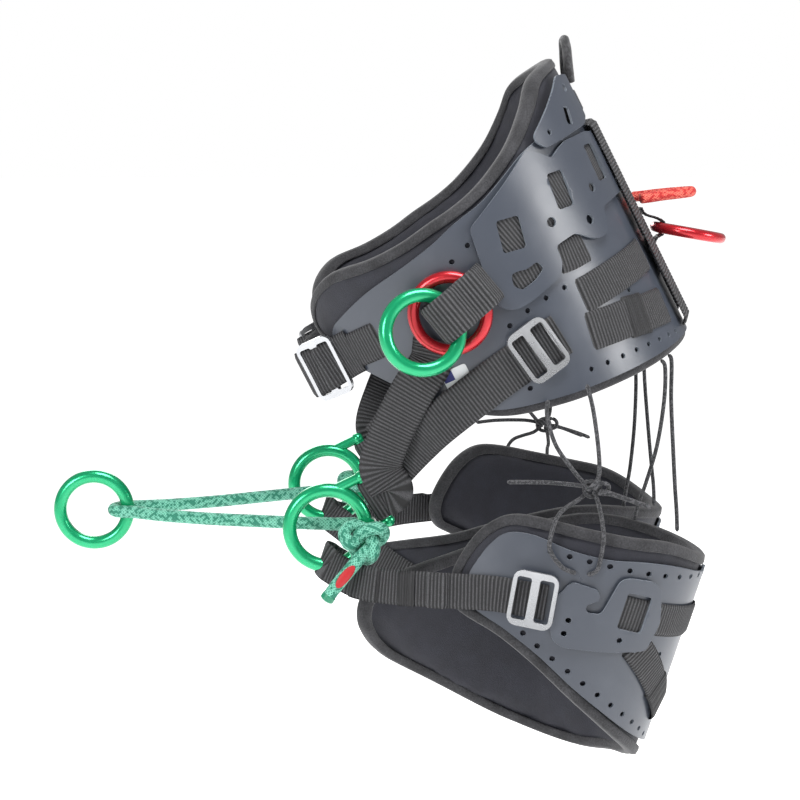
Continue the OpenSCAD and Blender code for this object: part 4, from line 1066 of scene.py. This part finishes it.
for side, way in (("left", 1), ("right", -1)):
    belt_band(f"front_tab_woven_{side}", [(-58, 8), (-50, 8), (-42, 8.5), (-36, 9)], 30, 17.0, "saddle", f"front_tab_{side}",
              way=way, tuck=(False, True))
    stitch_row(f"front_tab_stitches_{side}", side_to_mm([(-56.5, -4), (-56.5, 21)], way), belt_point, 18.3, 2.6, 1.4, 0.7,
               white_thread, "saddle", closed=False)
    frame_loop = slot_hole(0, 0, 36, 52, 0, 7.5)
    windows = [slot_hole(s * 9.0, 0, 11.4, 42, 0, 2.2) for s in (-1, 1)]
    buckle_at(f"front_buckle_forged_{side}", frame_loop, windows, lambda a, u: (a - 60.5 * BELT_MM, u + 4), way,
              belt_point, 28.1, f"front_buckle_{side}", f"front_buckle_{side}", turn=28.0)
    wrap_bar(f"front_fold_{side}", [(-48, 8, -0.2), (-52, 7, 0.6), (-55, 6, 2.6), (-57.5, 5, 6.6), (-60, 4, 13.5),
                                    (-61.5, 4, 13.8), (-61, 4, 9.0), (-58.5, 4.5, 4.0)], 38, way)
    wrap_bar(f"front_strap_turn_{side}", [(-59.5, 4, 7.2), (-61, 4, 9.6), (-63.5, 4, 15.5), (-66, 4, 19.6),
                                          (-68.5, 4, 20.0), (-69.5, 4, 15), (-70.5, 4, 8), (-74, 4, 3), (-80, 4, 0.2),
                                          (-86, 4, -0.2)], 41, way)

# ---------------------------------------------------------------- straps from the hips to the D rings
# On each side one ribbed band is sewn to the shell, runs over both rings and back under them. Two more
# run down to the D ring: the inner one folds round the ring's bar, the outer one adjusts in a buckle.
HIP_AROUND, HIP_UP, HIP_TURN = -11.0, 5.0, 13.0
ring_ribs = woven("ring_loop_webbing", (0.0035, 0.0035, 0.0045), (0.14, 0.14, 0.15), 0.0034)


def hip_point(points):
    """Points of the rings' own frame, where X is out of the hip and Y runs along the band, on the saddle."""
    own = lean(np.asarray(points, float), HIP_TURN) + [0, 0, HIP_UP]
    c, s = math.cos(math.radians(HIP_AROUND)), math.sin(math.radians(HIP_AROUND))
    turned = np.stack([own[..., 0] * c - own[..., 1] * s, own[..., 0] * s + own[..., 1] * c, own[..., 2]], -1)
    return lean(turned, BELT_LEAN) / 1000


red_out = WAIST_R + 18.1 + 0.5 + 5
green_out = red_out + 6.5
loop_line = np.array([[149.8, 40.5], [156, 38.4], [red_out + 7.6, 35], [red_out + 10, 28], [green_out + 6.2, 19.5],
                      [green_out + 14, 12], [green_out + 16, 0.5], [green_out + 11.8, -11.4], [green_out + 0.5, -14.8],
                      [154, -14.5], [150.6, -9], [151, 4]])
bar_bend = 4.5 + 0.4 + 1.1
D_PLACE, D_TURN, D_BAR = np.array([105.0, -126, -190]), 32.0, 45.5


def d_point(x, y, z=0.0):
    """A point of the D ring's own plane on the saddle, in millimetres."""
    return D_PLACE + lean(np.array([x, y, z], float), D_TURN)


hip_line = np.vstack([belt_point(np.array([-19.5, -21.5, -24.5]) * BELT_MM, [-9, -17, -26], [17.2, 17.2, 18.4]) * 1000,
                      [[141, -58, -72], [130, -74, -106], [119, -83, -137]], [d_point(bar_bend + 3, 62)],
                      [d_point(x, y) for x, y in ((bar_bend, 52), (bar_bend, D_BAR),
                                                  (bar_bend * 0.7, D_BAR - bar_bend * 0.7),
                                                  (0, D_BAR - bar_bend), (-bar_bend * 0.7, D_BAR - bar_bend * 0.7),
                                                  (-bar_bend, D_BAR), (-bar_bend, 56), (-bar_bend - 0.5, 74))]])
d_out = lean([0, 1.0, 0], D_TURN)
hip_face = np.vstack([[0.94, -0.3, -0.15], [0.93, -0.33, -0.17], [0.92, -0.36, -0.18], [0.95, -0.25, -0.1], [0.96, -0.2, 0],
                      [0.98, -0.1, 0], [1, 0, 0], [1, 0, 0], [1, 0, 0], [0.7, *(-0.7 * d_out[1:])], [0, *(-d_out[1:])],
                      [-0.7, *(-0.7 * d_out[1:])], [-1, 0, 0], [-1, 0, 0], [-1, 0, 0]])
low_line = np.vstack([belt_point(np.array([16, 8, -1, -10]) * BELT_MM, [-51, -53, -56, -60],
                                 [17.6, 17.6, 17.6, 18.0]) * 1000,
                      [[141, -36, -98], [124, -54, -118], [109, -70, -138], [104, -78, -149]]])
low_face = np.array([[0.96, 0.25, 0.12], [0.99, 0.12, 0.06], [1, 0, 0], [0.98, -0.15, -0.08], [0.95, -0.3, -0.1],
                     [0.9, -0.35, -0.2], [0.9, -0.35, -0.2], [0.95, -0.2, -0.2]])
for side, way in (("left", 1), ("right", -1)):
    mirror = np.array([way, 1, 1])
    loop_at = hip_point(np.column_stack([loop_line, np.zeros(len(loop_line))]))
    loop_ahead = np.gradient(loop_line, axis=0)
    loop_out = hip_point(np.column_stack([loop_line + unit(np.column_stack([-loop_ahead[:, 1], loop_ahead[:, 0]])),
                                          np.zeros(len(loop_line))])) - loop_at
    webbing_piece(ribbon(f"ring_band_{side}", loop_at * mirror, unit(loop_out) * mirror, 0.035, 0.0021, 0.0003, 0.0034),
                  "saddle", f"ring_loop_{side}", material=ring_ribs)
    webbing_piece(ribbon(f"hip_strap_woven_{side}", hip_line / 1000 * mirror, hip_face * mirror, 0.035, 0.0021),
                  "saddle", f"hip_strap_{side}")
    webbing_piece(ribbon(f"lower_strap_woven_{side}", low_line / 1000 * mirror, low_face * mirror, 0.035, 0.0021),
                  "saddle", f"lower_strap_{side}")
    buckle_at(f"side_buckle_forged_{side}", slot_hole(0, 0, 36, 46, 0, 7.5),
              [slot_hole(s * 9.0, 0, 11.4, 36, 0, 2.2) for s in (-1, 1)],
              lambda a, u: (7 * BELT_MM + a * math.cos(math.radians(9)) - u * math.sin(math.radians(9)),
                            -53 + a * math.sin(math.radians(9)) + u * math.cos(math.radians(9))),
              way, belt_point, 21.1, f"side_buckle_{side}", f"side_buckle_{side}")

# ---------------------------------------------------------------- leg loops
# Each leg loop is a bound foam pad shaped like a teardrop in plan, with a cut shell and an overlay
# plate on its outer side. Webbing is threaded through the shell, and a strap runs round the D ring.
THIGH_R, FRONT_R, FRONT_SHIFT = 82.0, 213.0, 131.0
LEG_PLACE, LEG_LEAN = np.array([105.0, 66, -278]), -18.0
HALF_BACK = THIGH_R * math.pi / 2


def leg_point(around, up, depth):
    """A place on a leg loop's wall, at a distance round it from the middle of its back: half a circle of
    radius 82 mm, and past it two arcs of radius 213 mm that meet in front."""
    s, h = np.asarray(around, float), np.asarray(depth, float)
    side = np.sign(s)
    back = np.clip(np.abs(s), 0, HALF_BACK) / THIGH_R
    front = np.maximum(np.abs(s) - HALF_BACK, 0) / FRONT_R
    on_back = np.abs(s) <= HALF_BACK
    x = np.where(on_back, (THIGH_R + h) * np.sin(back), (FRONT_R + h) * np.cos(front) - FRONT_SHIFT) * side
    y = np.where(on_back, (THIGH_R + h) * np.cos(back), -(FRONT_R + h) * np.sin(front))
    return (lean(np.stack(np.broadcast_arrays(x, y, np.asarray(up, float)), -1), LEG_LEAN) + LEG_PLACE) / 1000


def leg_depth(points):
    """Points in the leg loop's own frame, and their depth above the wearer's side, in millimetres."""
    own = lean(np.abs(points * [1000, 0, 0]) + points * [0, 1000, 1000] - LEG_PLACE, -LEG_LEAN)
    back = np.hypot(own[:, 0], own[:, 1]) - THIGH_R
    front = np.hypot(np.abs(own[:, 0]) + FRONT_SHIFT, own[:, 1]) - FRONT_R
    return own, np.where(own[:, 1] > 0, back, front)


def leg_side(points, radius=11.0):
    """Turns places on a side view of a leg loop into distances round it, by the arc cosine on the half
    circle and the arc sine on the front arc."""
    p = np.asarray(points, float)
    back = THIGH_R * np.arccos(np.clip(p[:, 0] / (THIGH_R + radius), -1, 1))
    front = HALF_BACK + FRONT_R * np.arcsin(np.clip(-p[:, 0] / (FRONT_R + radius), -1, 1))
    return np.column_stack([np.where(p[:, 0] >= 0, back, front), p[:, 1]])


outer_top = smooth_route([[92, 101], [68, 107], [45, 109], [13, 105], [-27, 101], [-60, 98], [-84, 92], [-100, 74],
                          [-108, 52]], 1.0)
outer_low = smooth_route([[-84, 2], [-62, -2], [-30, -14], [3, -30], [37, -46], [75, -66], [92, -79]], 1.0)
inner_top = smooth_route([[92, 101], [60, 99], [21, 93], [-14, 80], [-63, 50], [-93, 28], [-130, 6], [-158, -12]], 1.0)
inner_low = smooth_route([[-150, -65], [-129, -77], [-88, -89], [-29, -103], [9, -108], [45, -108], [72, -102],
                          [92, -88]], 1.0)
outer_side = leg_side(np.vstack([outer_top, [[-111, 34], [-109, 18], [-100, 5]], outer_low]))
inner_side = leg_side(np.vstack([inner_top, [[-165, -20], [-168, -32], [-163, -50]], inner_low]))
leg_line = np.vstack([outer_side, (inner_side * [-1, 1])[::-1]])
leg_shell_top = smooth_route([[93, 88], [60, 92], [30, 90], [0, 84], [-30, 82], [-60, 84], [-80, 78], [-90, 62]], 1.0)
leg_shell_low = smooth_route([[-75, 10], [-58, 6], [-28, -5], [5, -21], [38, -36], [72, -52], [93, -62]], 1.0)
shell_side = leg_side(np.vstack([leg_shell_top, [[-96, 40], [-96, 24], [-88, 14]], leg_shell_low]))
leg_shell_line = np.vstack([[[-27, 88]], shell_side, [[-27, -62]]])


def leg_hole_place(angle, up):
    """A hole's place by its angle at the back half, and by the same depth on the front arc."""
    if angle >= 0:
        return THIGH_R * (math.pi / 2 - math.radians(angle)), up
    return HALF_BACK + FRONT_R * math.asin(-93.2 * math.sin(math.radians(angle)) / (93.2 + FRONT_SHIFT)), up


leg_holes = [(a, 76 + (a + 28) * 0.12) for a in range(-28, 83, 10)] + [(a, 8 - (a + 28) * 0.66) for a in range(-28, 63, 9)]
leg_holes += [(-9, 30), (-9, 19), (17, 28), (47, 19)]
leg_cuts = [round_hole(*leg_hole_place(a, u), 2.2) for a, u in leg_holes]
leg_plate_line = leg_side([[-28, 22], [-32, 40], [-22, 60], [0, 60], [4, 52], [-6, 46], [-4, 40], [8, 42], [14, 72],
                           [20, 76], [42, 78], [50, 72], [58, 46], [54, 22], [20, 14], [-12, 8], [-22, 11]], 17.4)
plate_cuts = [round_hole(*leg_hole_place(a, u), 2.2) for a, u in ((-9, 30), (-9, 19), (17, 26))]
plate_cuts.append(slot_hole(THIGH_R * math.radians(70), 50, 18.5, 30, 0, 2.5))
for side, way in (("left", 1), ("right", -1)):
    mirror = np.array([way, 1, 1])

    def place_here(around, up, depth, mirror=mirror):
        """A place on this side's leg loop."""
        return leg_point(around, up, depth) * mirror

    body = f"leg_{side}"
    foam_pad(f"leg_pad_sewn_{side}", leg_line, place_here, leg_depth, 10.0, f"leg_pad_{side}", body, -2.0, 10.7)
    bind_edge(f"leg_binding_sewn_{side}", leg_line, place_here, -0.8, 10.9, f"leg_binding_{side}", body)
    shell = cut_sheet(f"leg_shell_moulded_{side}", [soft_loop(leg_shell_line, 1.8, 3.0), *leg_cuts], 2.8,
                      lambda a, u: place_here(a, u, 12.4 + 0.25 * np.sin(a / 27) * np.cos(u / 21)
                                              + bump_at(a, u, 78, 20, 30, 26, 0.6)))
    finish_sheet(shell, 2.3, "shell", body, f"leg_shell_{side}", depth_of=leg_depth)
    plate = cut_sheet(f"leg_plate_cut_{side}", [soft_loop(leg_plate_line, 1.6, 2.4), *plate_cuts], 2.8,
                      lambda a, u: place_here(a, u, 17.4 + 0.2 * np.sin(a / 15) * np.cos(u / 17)))
    finish_sheet(plate, 2.1, "shell", body, f"leg_plate_{side}", depth_of=leg_depth)

# ---------------------------------------------------------------- webbing on the leg loops
# A level band and a slanting one are threaded through each leg shell under the plate. The strap runs
# from the inner side round the bottom of the D ring, over the front of the pad and into its buckle.
def leg_band(name, middle, width, depth, way, body, *node_names, tuck=(True, True), material=None):
    """A band on a leg loop's wall along distances round it and heights. A tucked end dips in."""
    fine = smooth_route(np.array(middle, float), 2.0)
    run = run_of(fine)
    dip = np.zeros(len(fine))
    for at_end, far in zip(tuck, (run, run[-1] - run)):
        if at_end:
            dip += 4.5 * np.clip(1 - far / 5.0, 0, 1) ** 2
    place = leg_point(fine[:, 0], fine[:, 1], depth - dip)
    out = unit(leg_point(fine[:, 0], fine[:, 1], depth - dip + 5) - place)
    mirror = np.array([way, 1, 1])
    return webbing_piece(ribbon(name, place * mirror, out * mirror, width / 1000, 0.0021), body, *node_names,
                         material=material)


def leg_front_x(p, depth):
    """How far the front arc stands from the leg loop's middle at a place p along it."""
    return math.sqrt((FRONT_R + depth) ** 2 - p * p) - FRONT_SHIFT


strap_line = np.array([[-leg_front_x(-118, 12.4), -118, -26], [-leg_front_x(-140, 12.4), -140, -22],
                       [-leg_front_x(-160, 12.6), -160, -16], [-15, -182, -8], [-8.5, -198, -3], [-6, -202.5, -1],
                       [0, -207, 0], [6, -202.5, -2], [9, -198, -4], [26, -178, -5], [44, -155, 1], [62, -128, 11.5],
                       [leg_front_x(-100, 16), -100, 21.5], [leg_front_x(-75, 16), -75, 30],
                       [leg_front_x(-50, 16), -50, 35], [leg_front_x(-35, 16), -35, 37.4]])
strap_line = smooth_route(strap_line, 1.5)
strap_ahead = unit(np.gradient(strap_line, axis=0))
strap_out = unit(np.column_stack([strap_ahead[:, 1], -strap_ahead[:, 0], 0 * strap_ahead[:, 0]]))


def on_leg(points):
    """Points of the left leg loop's own frame in millimetres, placed on the saddle."""
    return (lean(points, LEG_LEAN) + LEG_PLACE) / 1000


def strap_part(first, last, lift):
    """A stretch of the leg strap and the direction out of its face, raised over itself by a lift in
    millimetres that falls to nothing at both ends."""
    run = run_of(strap_line)
    kept = (run >= first) & (run <= last)
    rise = lift * np.clip(np.minimum(run[kept] - first, last - run[kept]) / 3, 0, 1)
    line, out = strap_line[kept], strap_out[kept]
    return on_leg(line + out * rise[:, None]), on_leg(line + out) - on_leg(line)


strap_long = run_of(strap_line)[-1]
for side, way in (("left", 1), ("right", -1)):
    mirror, body = np.array([way, 1, 1]), f"leg_{side}"
    route, out = strap_part(0, strap_long, 0)
    webbing_piece(ribbon(f"leg_strap_woven_{side}", route * mirror, out * 1000 * mirror, 0.028, 0.0021), body,
                  f"leg_strap_{side}")
    for part, (first, last, rise, cover) in {"overlap": (150, 178, 2.3, charcoal), "keeper": (196, 212, 2.4, plain_black),
                                             "fold": (222, 240, 4.6, charcoal)}.items():
        route, out = strap_part(first, last, rise)
        webbing_piece(ribbon(f"leg_strap_{part}_{side}", route * mirror, out * 1000 * mirror, 0.0284, 0.0021), body,
                      material=cover)
    leg_band(f"leg_level_band_{side}", [(14, 48), (40, 48), (80, 48), (118, 48)], 27, 15.0, way, body, f"leg_webbing_{side}")
    leg_band(f"leg_slant_band_{side}", [(30, -30), (48, -12), (70, 8), (92, 26)], 27, 15.1, way, body)
    leg_band(f"leg_slant_cover_{side}", [(31, -29), (44, -16), (56, -5)], 29, 16.2, way, body, material=plain_black)
    leg_p = -46 / (FRONT_R + 19.0)
    buckle_at(f"leg_buckle_forged_{side}", slot_hole(0, 0, 36, 44, 0, 7.5),
              [slot_hole(s * 9.0, 0, 11.4, 34, 0, 2.2) for s in (-1, 1)],
              lambda a, u: (HALF_BACK + FRONT_R * math.asin(-leg_p) - a * math.cos(math.radians(8))
                            - u * math.sin(math.radians(8)),
                            37 - a * math.sin(math.radians(8)) + u * math.cos(math.radians(8))),
              way, leg_point, 21.0, f"leg_buckle_{side}", f"leg_buckle_{side}")
# ---------------------------------------------------------------- label and rear keeper
# A thin white woven label with plain blue and red blocks, stitched on the pad under the left hip's edge,
# and the 20 mm webbing that is sewn to the back and folds round the rear ring.
label_cloth = shader("label_cloth", (0.62, 0.64, 0.66), 0.7)
tree = label_cloth.node_tree
spot = node(tree, "SeparateXYZ", Vector=tree.nodes.new("ShaderNodeTexCoord").outputs["UV"])
label_at = -18.7 * BELT_MM


def block(around, up, wide, high):
    """1 where both UV distances from a block's middle are less than half its size, given in mm."""
    sides = [node(tree, "Math", "COMPARE", i0=spot.outputs[axis], i1=middle / 1000, i2=size / 2000).outputs[0]
             for axis, middle, size in (("X", around, wide), ("Y", up, high))]
    return node(tree, "Math", "MULTIPLY", i0=sides[0], i1=sides[1]).outputs[0]


white_blue = node(tree, "Mix", i0=block(label_at - 6, -41.5, 9, 8))
white_blue.data_type = "RGBA"
white_blue.inputs[6].default_value, white_blue.inputs[7].default_value = (0.62, 0.64, 0.66, 1), (0.02, 0.025, 0.14, 1)
all_three = node(tree, "Mix", i0=block(label_at, -52.5, 60, 1.6))
all_three.data_type = "RGBA"
tree.links.new(white_blue.outputs[2], all_three.inputs[6])
all_three.inputs[7].default_value = (0.22, 0.02, 0.035, 1)
tree.links.new(all_three.outputs[2], tree.nodes["Principled BSDF"].inputs["Base Color"])
threads = node(tree, "TexWave", Vector=tree.nodes.new("ShaderNodeTexCoord").outputs["UV"], Scale=900.0)
threads.bands_direction = "Y"
raise_surface(label_cloth, threads.outputs["Fac"], 0.35, 0.0001)

label_edge = soft_loop([(label_at - 11, -57.6), (label_at + 11, -57.6), (label_at + 11, -36.4),
                        (label_at - 11, -36.4)], 1.0, 1.5)
label = cut_sheet("care_label_woven", [label_edge], 1.5, lambda a, u: belt_point(a, u, 16.2))
finish_sheet(label, 0.5, "label", "saddle", "care_label", faces=label_cloth, edges=label_cloth, rim=0.1)

fold = np.array([(144.5, 68.5), (146.5, 64.5), (151, 61.8), (158, 59.8), (163.5, 56.8), (165.7, 51.5), (163.2, 46),
                 (158.5, 43), (156, 38)], float) / 1000
fold = smooth_route(fold, 0.0005)
ahead = unit(np.gradient(fold, axis=0))
keeper_out = np.column_stack([0 * fold[:, 0], ahead[:, 1], -ahead[:, 0]])
keeper = ribbon("rear_keeper_woven", np.insert(fold, 0, 0, axis=1), keeper_out, 0.0195, 0.0019)
webbing_piece(keeper, "saddle", "rear_keeper")
